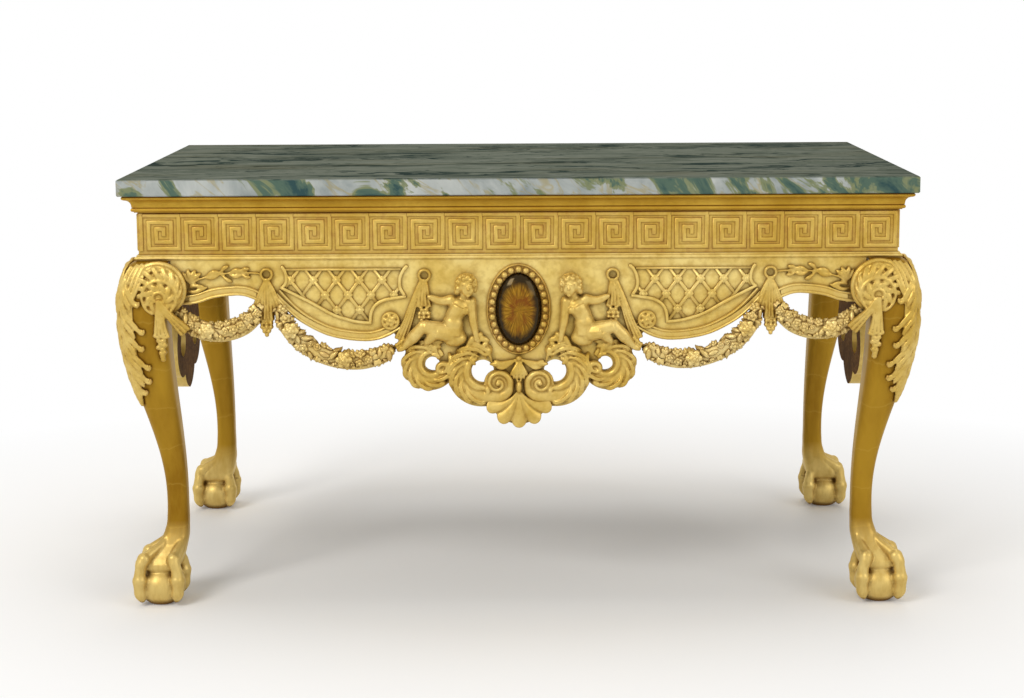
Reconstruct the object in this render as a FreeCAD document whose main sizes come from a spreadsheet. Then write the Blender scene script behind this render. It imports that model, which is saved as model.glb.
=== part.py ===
import FreeCAD, Part
import math
import os

import Sketcher
from FreeCAD import Placement, Rotation, Vector

# Carved and gilded centre table with a loose marble top.
# Millimetres, +Z up, origin on the floor under the middle of the table, front towards -Y.

# Driving dimensions: name, value, what it measures.
SIZES = [
    ("table_height", 843, "floor to the top of the marble"),
    ("top_length", 1524, "marble slab, left to right"),
    ("top_depth", 792, "marble slab, front to back"),
    ("top_thick", 32, "marble slab thickness"),
    ("top_chamfer", 2, "eased arris of the marble"),
    ("top_overhang", 30, "marble edge beyond the frieze face"),
    ("cornice_height", 34, "cornice moulding height"),
    ("cornice_reach", 23, "cornice lip beyond the frieze face"),
    ("cornice_lip", 8, "flat face at the top of the cornice"),
    ("bead_radius", 4, "half-round bead under the cornice hollow"),
    ("frieze_height", 82, "frieze board height"),
    ("frieze_thick", 22, "frieze board thickness"),
    ("base_height", 11, "moulding under the frieze"),
    ("base_reach", 4.5, "base moulding beyond the frieze face"),
    ("key_band", 6.5, "width of the raised key band"),
    ("key_relief", 3, "depth of the ground behind the key band"),
    ("key_height", 66, "key pattern, between the middles of its rails"),
    ("key_margin", 5, "middle of the upper key rail below the cornice"),
    ("apron_thick", 30, "apron board thickness"),
    ("strip_proud", 5, "edge moulding beyond the apron face"),
    ("strip_width", 15, "edge moulding width"),
    ("tenon_long", 24, "apron tenon length"),
    ("tenon_thick", 12, "apron tenon thickness"),
    ("tenon_high", 56, "apron tenon height"),
    ("fit_gap", 0.2, "clearance of a tenon or screw in its hole"),
    ("post_square", 60, "corner post inside the frieze"),
    ("leg_block", 68, "leg width under the frieze"),
    ("leg_shoulder", 4, "leg beyond the frieze face under the frieze"),
    ("knee_height", 585, "widest part of the knee above the floor"),
    ("knee_reach", 34, "knee beyond the frieze face"),
    ("knee_width", 90, "leg width at the knee"),
    ("ankle_height", 200, "narrowest part of the leg above the floor"),
    ("ankle_inset", 35, "outer side of the ankle inside the frieze face"),
    ("ankle_width", 40, "leg width at the ankle"),
    ("ball_radius", 47, "ball of the foot"),
    ("ball_height", 31, "middle of the ball above the floor"),
    ("ball_inset", 24, "middle of the ball inside the frieze face"),
    ("claw_radius", 11, "thickness of a claw, as a radius"),
    ("boss_radius", 51, "round knee carving"),
    ("boss_reach", 43, "knee carving beyond the frieze face"),
    ("boss_inset", 36, "middle of the knee carving inside the frieze corner"),
    ("boss_drop", 52, "middle of the knee carving below the apron top"),
    ("knee_drop_long", 124, "small drop on the knee"),
    ("arch_rise", 68, "apron depth at the top of the small arch"),
    ("apron_side", 86, "apron depth beside the leg"),
    ("belly_drop", 158, "apron depth at the lowest point of the long sweep"),
    ("belly_place", 296, "lowest point of the long sweep from the middle"),
    ("tassel_place", 484, "hanging drapery from the middle"),
    ("tassel_neck", 78, "apron depth behind the hanging drapery"),
    ("ring_drop", 27, "drapery ring below the apron top"),
    ("ring_radius", 12, "drapery ring, outside"),
    ("tassel_long", 118, "drapery, from its ring to its tip"),
    ("tassel_radius", 20, "drapery hem, as a radius"),
    ("end_tassel_place", 142, "hanging drapery from the middle of an end"),
    ("figure_ring", 181, "ring beside the figure from the middle"),
    ("outer_scroll_place", 172, "small scroll from the middle"),
    ("outer_scroll_drop", 204, "small scroll below the apron top"),
    ("outer_scroll_radius", 52, "small scroll, outside"),
    ("inner_scroll_place", 72, "large scroll from the middle"),
    ("inner_scroll_drop", 222, "large scroll below the apron top"),
    ("inner_scroll_radius", 67, "large scroll, outside"),
    ("scroll_tube", 34, "scroll thickness across the leaf"),
    ("shell_drop", 325, "tip of the shell below the apron top"),
    ("shell_width", 124, "shell width"),
    ("shell_relief", 20, "shell beyond the apron face"),
    ("oval_width", 125, "beaded oval frame, across"),
    ("oval_height", 178, "beaded oval frame, up and down"),
    ("oval_drop", 97, "middle of the oval below the apron top"),
    ("oval_proud", 9, "oval frame beyond the apron face"),
    ("oval_border", 18, "width of the oval frame"),
    ("stone_proud", 12, "crown of the cabochon beyond its frame"),
    ("trellis_proud", 6, "trellis frame beyond the apron face"),
    ("trellis_border", 7, "width of the trellis frame"),
    ("lattice_bar", 9, "width of a lattice bar"),
    ("lattice_proud", 4, "lattice bar beyond the apron face"),
    ("lattice_pitch", 44, "rosette to rosette along a row"),
    ("lattice_row", 29, "height between rows of rosettes"),
    ("rosette_radius", 7, "lattice rosette"),
    ("swag_radius", 24, "garland at its thickest, as a radius"),
    ("swag_end", 11, "garland at its ends, as a radius"),
    ("bearer_width", 60, "cross bearer width"),
    ("bearer_thick", 30, "cross bearer thickness"),
    ("bearer_place", 330, "outer cross bearers from the middle"),
    ("block_square", 26, "glue block section"),
    ("block_long", 50, "glue block length"),
    ("screw_radius", 2.5, "screw shank"),
    ("screw_head", 4.8, "screw head, as a radius"),
    ("screw_long", 42, "screw length"),
]
KEYS_FRONT = 20
KEYS_END = 10
LEG_STEPS = 5
SHELL_RIBS = 5
CLAWS = 4

doc = FreeCAD.newDocument("centre_table")
sheet = doc.addObject("Spreadsheet::Sheet", "sizes")
nodes = {}


class Dim:
    """A length with its value and the sheet formula that it comes from."""

    def __init__(self, value, formula):
        self.value = value
        self.formula = formula

    def __add__(self, other):
        return Dim(self.value + value_of(other), f"({self.formula} + {formula_of(other)})")

    def __sub__(self, other):
        return Dim(self.value - value_of(other), f"({self.formula} - {formula_of(other)})")

    def __rsub__(self, other):
        return Dim(value_of(other) - self.value, f"({formula_of(other)} - {self.formula})")

    def __mul__(self, other):
        return Dim(self.value * value_of(other), f"({self.formula} * {formula_of(other)})")

    def __truediv__(self, other):
        return Dim(self.value / value_of(other), f"({self.formula} / {formula_of(other)})")

    def __neg__(self):
        return Dim(-self.value, f"(0 - {self.formula})")

    __radd__ = __add__
    __rmul__ = __mul__


def value_of(size):
    return size.value if isinstance(size, Dim) else float(size)


def formula_of(size):
    return size.formula if isinstance(size, Dim) else f"({float(size):.6f})"


def fill_sheet():
    """Writes the driving dimensions into the sheet and returns them as Dims by name."""
    found = {}
    for row, (name, value, note) in enumerate(SIZES, start=1):
        sheet.set(f"A{row}", note)
        sheet.set(f"B{row}", str(value))
        sheet.setAlias(f"B{row}", name)
        found[name] = Dim(float(value), f"sizes.{name}")
    doc.recompute()
    return found


def bind(item, path, size):
    """Ties one property of an object to the sheet."""
    item.setExpression(path, formula_of(size))


def place(item, x=0, y=0, z=0, turn=None):
    """Ties an object's position to the sheet, after turning it."""
    if turn is not None:
        item.Placement = Placement(Vector(), turn)
    for axis, size in zip("xyz", (x, y, z)):
        bind(item, f"Placement.Base.{axis}", size)
    return item


def primitive(kind, name, **sizes):
    """A Part primitive with its sizes tied to the sheet."""
    item = doc.addObject(f"Part::{kind}", name)
    for path, size in sizes.items():
        bind(item, path, size)
    return item


def joined(name, shapes):
    item = doc.addObject("Part::MultiFuse", name)
    item.Shapes = shapes
    return item


def cut(name, base, tool):
    item = doc.addObject("Part::Cut", name)
    item.Base = base
    item.Tool = tool
    return item


def cut_clear(name, base, tools):
    """A piece cut back from each of its neighbours in turn."""
    for number, tool in enumerate(tools):
        base = cut(f"{name}_clear_{number}", base, tool)
    return base


def common(name, base, tool):
    item = doc.addObject("Part::Common", name)
    item.Base = base
    item.Tool = tool
    return item


def mirrored(name, source, normal):
    item = doc.addObject("Part::Mirroring", name)
    item.Source = source
    item.Normal = normal
    return item


def node(name, item):
    """Names an object as one finished piece of the table."""
    item.Label = name
    nodes[name] = item
    return item


def new_body(name):
    return doc.addObject("PartDesign::Body", name)


def new_sketch(body, role, name, offset=0):
    """A sketch on one of the body's own origin planes, moved along its normal."""
    sketch = body.newObject("Sketcher::SketchObject", name)
    plane = next(f for f in body.Origin.OriginFeatures if f.Role == role)
    sketch.AttachmentSupport = [(plane, "")]
    sketch.MapMode = "FlatFace"
    bind(sketch, "AttachmentOffset.Base.z", offset)
    return sketch


def pins(geometry, end, point):
    """Constraints that hold one point of a sketch at sheet-driven coordinates, with their formulas."""
    held = []
    for axis, size, line in (("DistanceX", point[0], -2), ("DistanceY", point[1], -1)):
        if abs(value_of(size)) < 1e-9:
            held.append((Sketcher.Constraint("PointOnObject", geometry, end, line), None))
        else:
            held.append((Sketcher.Constraint(axis, -1, 1, geometry, end, value_of(size)), formula_of(size)))
    return held


def hold(sketch, held):
    """Adds constraints to a sketch and ties those with a formula to the sheet."""
    numbers = sketch.addConstraint([rule for rule, formula in held])
    for number, (rule, formula) in zip(numbers, held):
        if formula:
            sketch.setExpression(f"Constraints[{number}]", formula)


def flat(point):
    return Vector(value_of(point[0]), value_of(point[1]), 0)


def arc_edge(here, bend, after):
    """A counter-clockwise arc through three points, and which of its ends is at the first of them."""
    path = Part.Circle(here, bend, after)
    whole = Part.Circle(path.Center, Vector(0, 0, 1), path.Radius)
    forwards = (bend - here).cross(after - bend).z > 0
    begin, finish = (here, after) if forwards else (after, here)
    first = whole.parameter(begin)
    last = whole.parameter(finish)
    if last < first:
        last += 2 * math.pi
    return Part.ArcOfCircle(whole, first, last), 1 if forwards else 2


def outline(sketch, corners):
    """A closed outline of corners (x, y), or (x, y, (mx, my)) where an arc through m runs to the next."""
    made = []
    held = []
    for here, after in zip(corners, corners[1:] + corners[:1]):
        edge, start = Part.LineSegment(flat(here), flat(after)), 1
        if len(here) == 3:
            edge, start = arc_edge(flat(here), flat(here[2]), flat(after))
        number = sketch.addGeometry(edge)
        made.append((number, start, 3 - start))
        held += pins(number, start, here)
        if len(here) == 3:
            point = sketch.addGeometry(Part.Point(flat(here[2])), True)
            held += pins(point, 1, here[2])
            held.append((Sketcher.Constraint("PointOnObject", point, 1, number), None))
    for (number, start, end), (following, first, last) in zip(made, made[1:] + made[:1]):
        held.append((Sketcher.Constraint("Coincident", number, end, following, first), None))
    hold(sketch, held)
    return sketch


def circle(sketch, middle, radius):
    number = sketch.addGeometry(Part.Circle(flat(middle), Vector(0, 0, 1), value_of(radius)))
    size = (Sketcher.Constraint("Radius", number, value_of(radius)), formula_of(radius))
    hold(sketch, pins(number, 3, middle) + [size])


def rectangle(sketch, low, high):
    return outline(sketch, [low, (high[0], low[1]), high, (low[0], high[1])])


def pad(body, sketch, name, length, both_ways=False):
    item = body.newObject("PartDesign::Pad", name)
    item.Profile = sketch
    bind(item, "Length", length)
    item.Midplane = both_ways
    return item


def pocket_through(body, sketch, name):
    """Cuts a sketch through everything, both ways."""
    item = body.newObject("PartDesign::Pocket", name)
    item.Profile = sketch
    item.Type = "ThroughAll"
    item.Midplane = True
    return item


def revolve(body, sketch, name, angle=360):
    item = body.newObject("PartDesign::Revolution", name)
    item.Profile = sketch
    item.ReferenceAxis = (sketch, ["V_Axis"])
    item.Angle = angle
    item.Midplane = True
    return item


def mirror_x(corners):
    """The same outline with every corner on the other side of the middle, walked backwards."""
    flipped = []
    for corner, before in zip(corners, corners[-1:] + corners[:-1]):
        middle = ((-before[2][0], before[2][1]),) if len(before) == 3 else ()
        flipped.append((-corner[0], corner[1]) + middle)
    return flipped[:1] + flipped[:0:-1]


s = fill_sheet()

# Levels and half widths that the pieces share.
slab_bottom = s["table_height"] - s["top_thick"]
frieze_top = slab_bottom - s["cornice_height"]
frieze_bottom = frieze_top - s["frieze_height"]
apron_top = frieze_bottom - s["base_height"]
half_x = s["top_length"] / 2 - s["top_overhang"]
half_y = s["top_depth"] / 2 - s["top_overhang"]
inner_x = half_x - s["frieze_thick"]
inner_y = half_y - s["frieze_thick"]

# Each side: name, turn about Z, half its length, distance of its face from the middle, key count.
SIDES = [
    ("front", 0, half_x, half_y, KEYS_FRONT),
    ("right", 90, half_y, half_x, KEYS_END),
    ("back", 180, half_x, half_y, KEYS_FRONT),
    ("left", -90, half_y, half_x, KEYS_END),
]


def side_turn(angle):
    return Placement(Vector(), Rotation(Vector(0, 0, 1), angle))


def below(size):
    """A height, given as a distance below the apron's top edge."""
    return apron_top - size


def make_marble_top():
    body = new_body("marble_top_body")
    sketch = new_sketch(body, "XY_Plane", "slab_outline", slab_bottom)
    corner = (s["top_length"] / 2, s["top_depth"] / 2)
    rectangle(sketch, (-corner[0], -corner[1]), corner)
    slab = pad(body, sketch, "slab", s["top_thick"])
    doc.recompute()
    levels = (value_of(slab_bottom), s["table_height"].value)
    rims = []
    for number, edge in enumerate(slab.Shape.Edges, start=1):
        ends = [v.Z for v in edge.Vertexes]
        if any(all(abs(z - level) < 1e-6 for z in ends) for level in levels):
            rims.append(f"Edge{number}")
    arris = body.newObject("PartDesign::Chamfer", "arris")
    arris.Base = (slab, rims)
    bind(arris, "Size", s["top_chamfer"])
    node("marble_top", body)


def mitre(body, name, half, face, reach):
    """Cuts both ends of a moulding at 45 degrees, through the corner of the frieze."""
    sketch = new_sketch(body, "XY_Plane", f"{name}_mitre")
    deep = s["frieze_thick"] + reach
    toe = (half + deep, -(face + deep))
    heel = (half - deep, -(face - deep))
    square = (half + deep, -(face - deep))
    outline(sketch, [toe, square, heel])
    outline(sketch, mirror_x([toe, square, heel]))
    pocket_through(body, sketch, f"{name}_mitre_cut")


def make_moulding(name, profile, half, face, reach, angle):
    """One length of mitred moulding: a profile in (reach beyond the frieze face, height)."""
    body = new_body(f"{name}_body")
    sketch = new_sketch(body, "YZ_Plane", f"{name}_profile")
    outline(sketch, profile(face))
    pad(body, sketch, f"{name}_length", (half + reach) * 2, both_ways=True)
    mitre(body, name, half, face, reach)
    body.Placement = side_turn(angle)
    node(name, body)


def cornice_profile(face):
    """Bead, hollow and flat lip, from the frieze up to the marble."""
    back = -(face - s["frieze_thick"])
    bead = s["bead_radius"]
    foot = -(face + bead)
    neck = -(face + bead + 1)
    bead_top = frieze_top + bead * 2
    lip = -(face + s["cornice_reach"])
    hollow_top = slab_bottom - s["cornice_lip"]
    hollow_bottom = bead_top + 1
    sweep = s["cornice_reach"] - bead - 3
    rise = hollow_top - hollow_bottom
    hollow_middle = (neck - sweep * 0.29, hollow_bottom + rise * 0.71)
    return [
        (back, frieze_top),
        (foot, frieze_top, (foot - bead, frieze_top + bead)),
        (foot, bead_top),
        (neck, bead_top),
        (neck, hollow_bottom, hollow_middle),
        (neck - sweep, hollow_top),
        (lip, hollow_top),
        (lip, slab_bottom),
        (back, slab_bottom),
    ]


def base_profile(face):
    """Flat fillet with a small rounded top, under the frieze."""
    back = -(face - s["frieze_thick"])
    lip = -(face + s["base_reach"])
    shoulder = apron_top + s["base_height"] * 0.55
    bulge = (-(face + s["base_reach"] * 0.7), shoulder + s["base_height"] * 0.3)
    return [
        (back, apron_top),
        (lip, apron_top),
        (lip, shoulder, bulge),
        (-face, frieze_bottom),
        (back, frieze_bottom),
    ]


def key_outline(left, pitch):
    """One unit of the running key: a band that winds in to the middle and out again."""
    step_x = pitch / 6
    step_z = s["key_height"] / 6
    top = frieze_top - s["key_margin"]
    path = [
        (0, 6), (5, 6), (5, 1), (2, 1), (2, 4), (3, 4), (3, 2),
        (4, 2), (4, 5), (1, 5), (1, 0), (6, 0), (6, 6),
    ]
    runs = [(b[0] - a[0], b[1] - a[1]) for a, b in zip(path, path[1:])]
    runs = [((dx > 0) - (dx < 0), (dz > 0) - (dz < 0)) for dx, dz in runs]
    half_band = s["key_band"] / 2
    sides = {1: [], -1: []}
    for number, (column, row) in enumerate(path):
        before = runs[max(number - 1, 0)]
        after = runs[min(number, len(runs) - 1)]
        bends = before != after
        for side in sides:
            shift_x = -side * (before[1] + (after[1] if bends else 0))
            shift_z = side * (before[0] + (after[0] if bends else 0))
            if number == 0:
                shift_x = -1
            if number == len(path) - 1:
                shift_z = -1
            sides[side].append(
                (left + step_x * column + half_band * shift_x, top - step_z * (6 - row) + half_band * shift_z)
            )
    return sides[1] + sides[-1][::-1]


def make_frieze_rail(name, half, face, count, angle):
    """A frieze board with the running key left standing on a sunk ground, mitred at both ends."""
    body = new_body(f"{name}_body")
    ground = face - s["key_relief"]
    back = face - s["frieze_thick"]
    board = new_sketch(body, "XZ_Plane", f"{name}_board", back)
    rectangle(board, (-half, frieze_bottom), (half, frieze_top))
    pad(body, board, f"{name}_ground", ground - back)
    mitre(body, name, half, face, s["key_relief"])
    pitch = (half * 2 - s["key_band"] * 2) / count
    key = new_sketch(body, "XZ_Plane", f"{name}_key", ground)
    outline(key, key_outline(-half + s["key_band"], pitch))
    band = pad(body, key, f"{name}_band", s["key_relief"])
    doc.recompute()
    row = body.newObject("PartDesign::LinearPattern", f"{name}_row")
    row.Originals = [band]
    row.Direction = (key, ["H_Axis"])
    bind(row, "Length", pitch * (count - 1))
    row.Occurrences = count
    body.Tip = row
    body.Placement = side_turn(angle)
    node(name, body)


def make_box_frame():
    """The four mitred sides of the frieze box, each with its cornice and base moulding."""
    for side, angle, half, face, count in SIDES:
        make_moulding(f"cornice_{side}", cornice_profile, half, face, s["cornice_reach"], angle)
        make_frieze_rail(f"frieze_{side}", half, face, count, angle)
        make_moulding(f"base_moulding_{side}", base_profile, half, face, s["base_reach"], angle)


def leg_section(body, name, height, outer, width, roundness):
    """A square with rounded corners. Outer is measured outwards from the corner of the frieze."""
    sketch = new_sketch(body, "XY_Plane", name, height)
    x1 = half_x + outer
    y1 = half_y + outer
    x0 = x1 - width
    y0 = y1 - width
    r = width * roundness
    near = r * (1 - math.sqrt(0.5))
    return outline(sketch, [
        (x0 + r, y0),
        (x1 - r, y0, (x1 - near, y0 + near)),
        (x1, y0 + r),
        (x1, y1 - r, (x1 - near, y1 - near)),
        (x1 - r, y1),
        (x0 + r, y1, (x0 + near, y1 - near)),
        (x0, y1 - r),
        (x0, y0 + r, (x0 + near, y0 + near)),
    ])


def leg_stations():
    """Height, outer side, width and corner roundness of the leg, from the frieze down to the ball."""
    knee = s["knee_height"]
    ankle = s["ankle_height"]
    upper = apron_top - knee
    found = [(apron_top, s["leg_shoulder"], s["leg_block"], 0.12)]
    for share in (0.72, 0.4):
        swell = math.sqrt(1 - share * share)
        outer = s["leg_shoulder"] + (s["knee_reach"] - s["leg_shoulder"]) * swell
        width = s["leg_block"] + (s["knee_width"] - s["leg_block"]) * (1 - share)
        found.append((knee + upper * share, outer, width, 0.2))
    for step in range(LEG_STEPS + 1):
        share = 1 - step / LEG_STEPS
        blend = (1 - math.cos(math.pi * share)) / 2
        outer = (s["knee_reach"] + s["ankle_inset"]) * blend - s["ankle_inset"]
        width = s["ankle_width"] + (s["knee_width"] - s["ankle_width"]) * blend
        found.append((ankle + (knee - ankle) * share, outer, width, 0.24))
    ball_top = s["ball_height"] + s["ball_radius"]
    found.append((ball_top + 45, -s["ankle_inset"] + 3, s["ankle_width"] + 4, 0.26))
    found.append((ball_top + 8, -s["ankle_inset"] + 13, s["ankle_width"] + 16, 0.3))
    found.append((ball_top - 22, -s["ankle_inset"] + 22, s["ankle_width"] + 34, 0.34))
    return found


def make_leg():
    """Square cabriole leg with a post inside the frieze, mortises for the aprons and a claw-and-ball foot."""
    body = new_body("leg_body")
    sections = [leg_section(body, f"leg_section_{k}", *row) for k, row in enumerate(leg_stations())]
    loft = body.newObject("PartDesign::AdditiveLoft", "leg_sweep")
    loft.Profile = sections[0]
    loft.Sections = sections[1:]
    post = new_sketch(body, "XY_Plane", "post_outline", apron_top)
    corner = (inner_x, inner_y)
    rectangle(post, (corner[0] - s["post_square"], corner[1] - s["post_square"]), corner)
    pad(body, post, "post", slab_bottom - apron_top)
    foot_x = half_x - s["ball_inset"]
    foot_y = half_y - s["ball_inset"]
    pieces = [body]
    round_ball = primitive("Sphere", "ball", Radius=s["ball_radius"])
    pieces.append(place(round_ball, foot_x, foot_y, s["ball_height"]))
    path = s["ball_radius"] + s["claw_radius"] * 0.55
    for claw in range(CLAWS):
        azimuth = math.radians(45 + 360 * claw / CLAWS)
        level = Vector(math.cos(azimuth), math.sin(azimuth), 0)
        up = Vector(0, 0, 1)
        first = level * math.sin(math.radians(22)) + up * math.cos(math.radians(22))
        second = level * math.cos(math.radians(22)) - up * math.sin(math.radians(22))
        turn = Rotation(first, second, first.cross(second), "XYZ")
        arc = primitive("Torus", f"claw_{claw}", Radius1=path, Radius2=s["claw_radius"], Angle3=92)
        pieces.append(place(arc, foot_x, foot_y, s["ball_height"], turn))
        knuckle = primitive("Sphere", f"knuckle_{claw}", Radius=s["claw_radius"] * 1.3)
        reach = path * math.sin(math.radians(72))
        pieces.append(place(
            knuckle, foot_x + reach * level.x, foot_y + reach * level.y,
            s["ball_height"] + path * math.cos(math.radians(72)),
        ))
    whole = joined("leg_and_foot", pieces)
    floor = primitive("Box", "below_floor", Length=400, Width=400, Height=200)
    place(floor, half_x - 250, half_y - 250, -200)
    gap = s["fit_gap"]
    tall = s["tenon_high"] + gap * 2
    sunk = s["tenon_long"] + gap
    wide = s["tenon_thick"] + gap * 2
    low = below(15 + s["tenon_high"]) - gap
    shoulder_x = half_x + s["leg_shoulder"] - s["leg_block"]
    shoulder_y = half_y + s["leg_shoulder"] - s["leg_block"]
    back = (s["apron_thick"] + s["tenon_thick"]) / 2 + gap
    mortise_x = primitive("Box", "mortise_long_side", Length=sunk + 40, Width=wide, Height=tall)
    place(mortise_x, shoulder_x - 40, half_y - back, low)
    mortise_y = primitive("Box", "mortise_short_side", Length=wide, Width=sunk + 40, Height=tall)
    place(mortise_y, half_x - back, shoulder_y - 40, low)
    return cut("leg", whole, joined("leg_cuts", [floor, mortise_x, mortise_y]))


def make_knee_carving(leg):
    """Round carving and a small drop on the two outer faces of one knee, cut to sit on the leg."""
    r = s["boss_radius"]
    h = s["boss_reach"]
    inset = s["boss_inset"]
    drop_out = s["knee_reach"] - 7
    drop_in = inset + 12
    faces = [
        (
            "long", Rotation(Vector(1, 0, 0), -90),
            (half_x - inset, half_y), (half_x - drop_in, half_y + drop_out),
        ),
        (
            "short", Rotation(Vector(0, 1, 0), 90),
            (half_x, half_y - inset), (half_x + drop_out, half_y - drop_in),
        ),
    ]
    pieces = []
    for face, turn, boss_place, drop_place in faces:
        body = new_body(f"boss_{face}_body")
        sketch = new_sketch(body, "XZ_Plane", f"boss_{face}_profile")
        outline(sketch, [
            (0, 0),
            (r, 0),
            (r, h - 14, (r - 1.5, h - 7)),
            (r - 7, h - 3, (r - 15, h - 6)),
            (r - 17, h - 13, (r * 0.52, h - 11)),
            (r * 0.4, h - 6, (r * 0.31, h - 2)),
            (r * 0.18, h),
            (0, h),
        ])
        revolve(body, sketch, f"boss_{face}")
        place(body, *boss_place, below(s["boss_drop"]), turn)
        drop = new_body(f"knee_drop_{face}_body")
        sketch = new_sketch(drop, "XZ_Plane", f"knee_drop_{face}_profile")
        drop_outline(sketch, s["knee_drop_long"], s["tassel_radius"] * 0.5, s["tassel_radius"] * 0.8)
        revolve(drop, sketch, f"knee_drop_{face}")
        inwards = Rotation(Vector(0, 0, 1), -90 if face == "long" else 180)
        place(drop, *drop_place, below(s["boss_drop"] + 14), inwards)
        pieces += [body, drop]
    return cut("knee_carving", joined("knee_ornament", pieces), leg)


def drop_outline(sketch, length, neck, hem):
    """Half profile of a hanging cloth or tassel: a neck that widens to a hem, with a tip below it."""
    outline(sketch, [
        (0, 0),
        (neck, 0),
        (neck * 0.8, -length * 0.12, (neck * 0.95, -length * 0.4)),
        (hem, -length * 0.68),
        (hem, -length * 0.75),
        (hem * 0.6, -length * 0.79, (hem * 0.72, -length * 0.87)),
        (hem * 0.5, -length * 0.95),
        (hem * 0.2, -length),
        (0, -length),
    ])


def flip(chain):
    """A run of corners on the other side of the middle."""
    return [(-c[0], c[1]) + tuple((-m[0], m[1]) for m in c[2:]) for c in chain]


def backwards(chain):
    """The same open run of corners, walked the other way."""
    turned = []
    for number in range(len(chain) - 1, -1, -1):
        middle = chain[number - 1][2:] if number else ()
        turned.append(chain[number][:2] + tuple(middle))
    return turned


def ribbon(chain, rise):
    """A closed strip between a run of corners and the same run, raised."""
    raised = [(c[0], c[1] + rise) + tuple((m[0], m[1] + rise) for m in c[2:]) for c in chain]
    return chain[:-1] + [chain[-1][:2]] + backwards(raised)


def around(middle, radius, degrees):
    """A point on a circle."""
    angle = math.radians(degrees)
    return (middle[0] + radius * math.cos(angle), middle[1] + radius * math.sin(angle))


outer_scroll = (s["outer_scroll_place"], below(s["outer_scroll_drop"]))
inner_scroll = (s["inner_scroll_place"], below(s["inner_scroll_drop"]))
scroll_hole = s["scroll_tube"] / 2 - 2


def small_arch(leg_line, neck):
    """Right half of the apron's lower edge, from the leg to the drapery."""
    side = below(s["apron_side"])
    peak = below(s["arch_rise"])
    step = leg_line - 35
    run = step - neck
    return [
        (leg_line, apron_top),
        (leg_line, side),
        (step, side, (step - run * 0.37, peak - 4)),
        (step - run * 0.65, peak, (step - run * 0.83, peak - 1)),
        (neck, below(s["tassel_neck"])),
    ]


def pendant_edge(start):
    """Right half of the apron's lower edge round the large scroll and down to the tip of the shell."""
    shell = (s["shell_width"] / 2 - 5, inner_scroll[1] - s["inner_scroll_radius"] + 2)
    tip = below(s["shell_drop"])
    return [
        start + (around(inner_scroll, s["inner_scroll_radius"], -58),),
        shell + ((shell[0] * 0.56, tip + (shell[1] - tip) * 0.3),),
        (0, tip),
    ]


def long_edge():
    """Right half of the long apron's lower edge, with its two arches and its scrolled pendant."""
    leg_line = half_x + s["leg_shoulder"] - s["leg_block"]
    neck = below(s["tassel_neck"])
    place_in = s["tassel_place"] - 20
    belly = (s["belly_place"], below(s["belly_drop"]))
    sweep = place_in - belly[0]
    fall = neck - belly[1]
    radius = s["outer_scroll_radius"]
    return small_arch(leg_line, s["tassel_place"] + 20) + [
        (place_in, neck, (belly[0] + sweep * 0.69, belly[1] + fall * 0.42)),
        (belly[0] + sweep * 0.44, belly[1] + fall * 0.15, (belly[0] + sweep * 0.22, belly[1] + fall * 0.04)),
        belly + ((belly[0] - 30, belly[1] + 4),),
        (belly[0] - 55, belly[1] + 15),
        around(outer_scroll, radius, 30) + (around(outer_scroll, radius, -65),),
    ] + pendant_edge(around(outer_scroll, radius, -134))


def short_edge():
    """Right half of the end apron's lower edge, with one arch and a scrolled pendant."""
    leg_line = half_y + s["leg_shoulder"] - s["leg_block"]
    neck = below(s["tassel_neck"])
    inside = s["end_tassel_place"] - 20
    join = around(inner_scroll, s["inner_scroll_radius"], 20)
    return small_arch(leg_line, s["end_tassel_place"] + 20) + [
        (inside, neck, (inside - 4, below(s["belly_drop"] - 25))),
    ] + pendant_edge(join)


def make_apron(name, face, edge, strips, holes):
    """A pierced apron board with raised edge strips and a tenon at each end."""
    body = new_body(f"{name}_body")
    thick = s["apron_thick"]
    board = new_sketch(body, "XZ_Plane", f"{name}_outline", face - thick)
    outline(board, edge[:-1] + backwards(flip(edge)))
    pad(body, board, f"{name}_board", thick)
    border = new_sketch(body, "XZ_Plane", f"{name}_border", face)
    for first, last in strips:
        run = ribbon(edge[first:last], s["strip_width"])
        outline(border, run)
        outline(border, mirror_x(run))
    pad(body, border, f"{name}_strip", s["strip_proud"])
    tenons = new_sketch(body, "XZ_Plane", f"{name}_tenons", face - (thick + s["tenon_thick"]) / 2)
    shoulder = edge[0][0]
    low = (shoulder - 4, below(15 + s["tenon_high"]))
    high = (shoulder + s["tenon_long"], below(15))
    rectangle(tenons, low, high)
    rectangle(tenons, (-high[0], low[1]), (-low[0], high[1]))
    pad(body, tenons, f"{name}_tenon", s["tenon_thick"])
    piercing = new_sketch(body, "XZ_Plane", f"{name}_piercing", face)
    for middle, radius in holes:
        circle(piercing, middle, radius)
        circle(piercing, (-middle[0], middle[1]), radius)
    pocket_through(body, piercing, f"{name}_holes")
    return body


def horn(name, face, middle, stations, lift=None):
    """A tapering scroll or garland along an arc on the apron's face.

    A station is (angle, arc radius, thickness). Sections are half discs on the face, or full discs
    whose middle stands off it by the lift.
    """
    body = new_body(f"{name}_body")
    sections = []
    for number, (degrees, radius, thick) in enumerate(stations):
        angle = math.radians(degrees)
        sketch = new_sketch(body, "XY_Plane", f"{name}_section_{number}")
        across = Vector(math.cos(angle), 0, math.sin(angle))
        out = Vector(0, -1, 0)
        sketch.AttachmentOffset = Placement(Vector(), Rotation(across, out, across.cross(out), "XYZ"))
        for axis, size in zip("xyz", (middle[0], -face, middle[1])):
            bind(sketch, f"AttachmentOffset.Base.{axis}", size)
        if lift is None:
            outline(sketch, [(radius + thick, 0, (radius, thick)), (radius - thick, 0)])
        else:
            circle(sketch, (radius, lift), thick)
        sections.append(sketch)
    loft = body.newObject("PartDesign::AdditiveLoft", name)
    loft.Profile = sections[0]
    loft.Sections = sections[1:]
    return body


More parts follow.
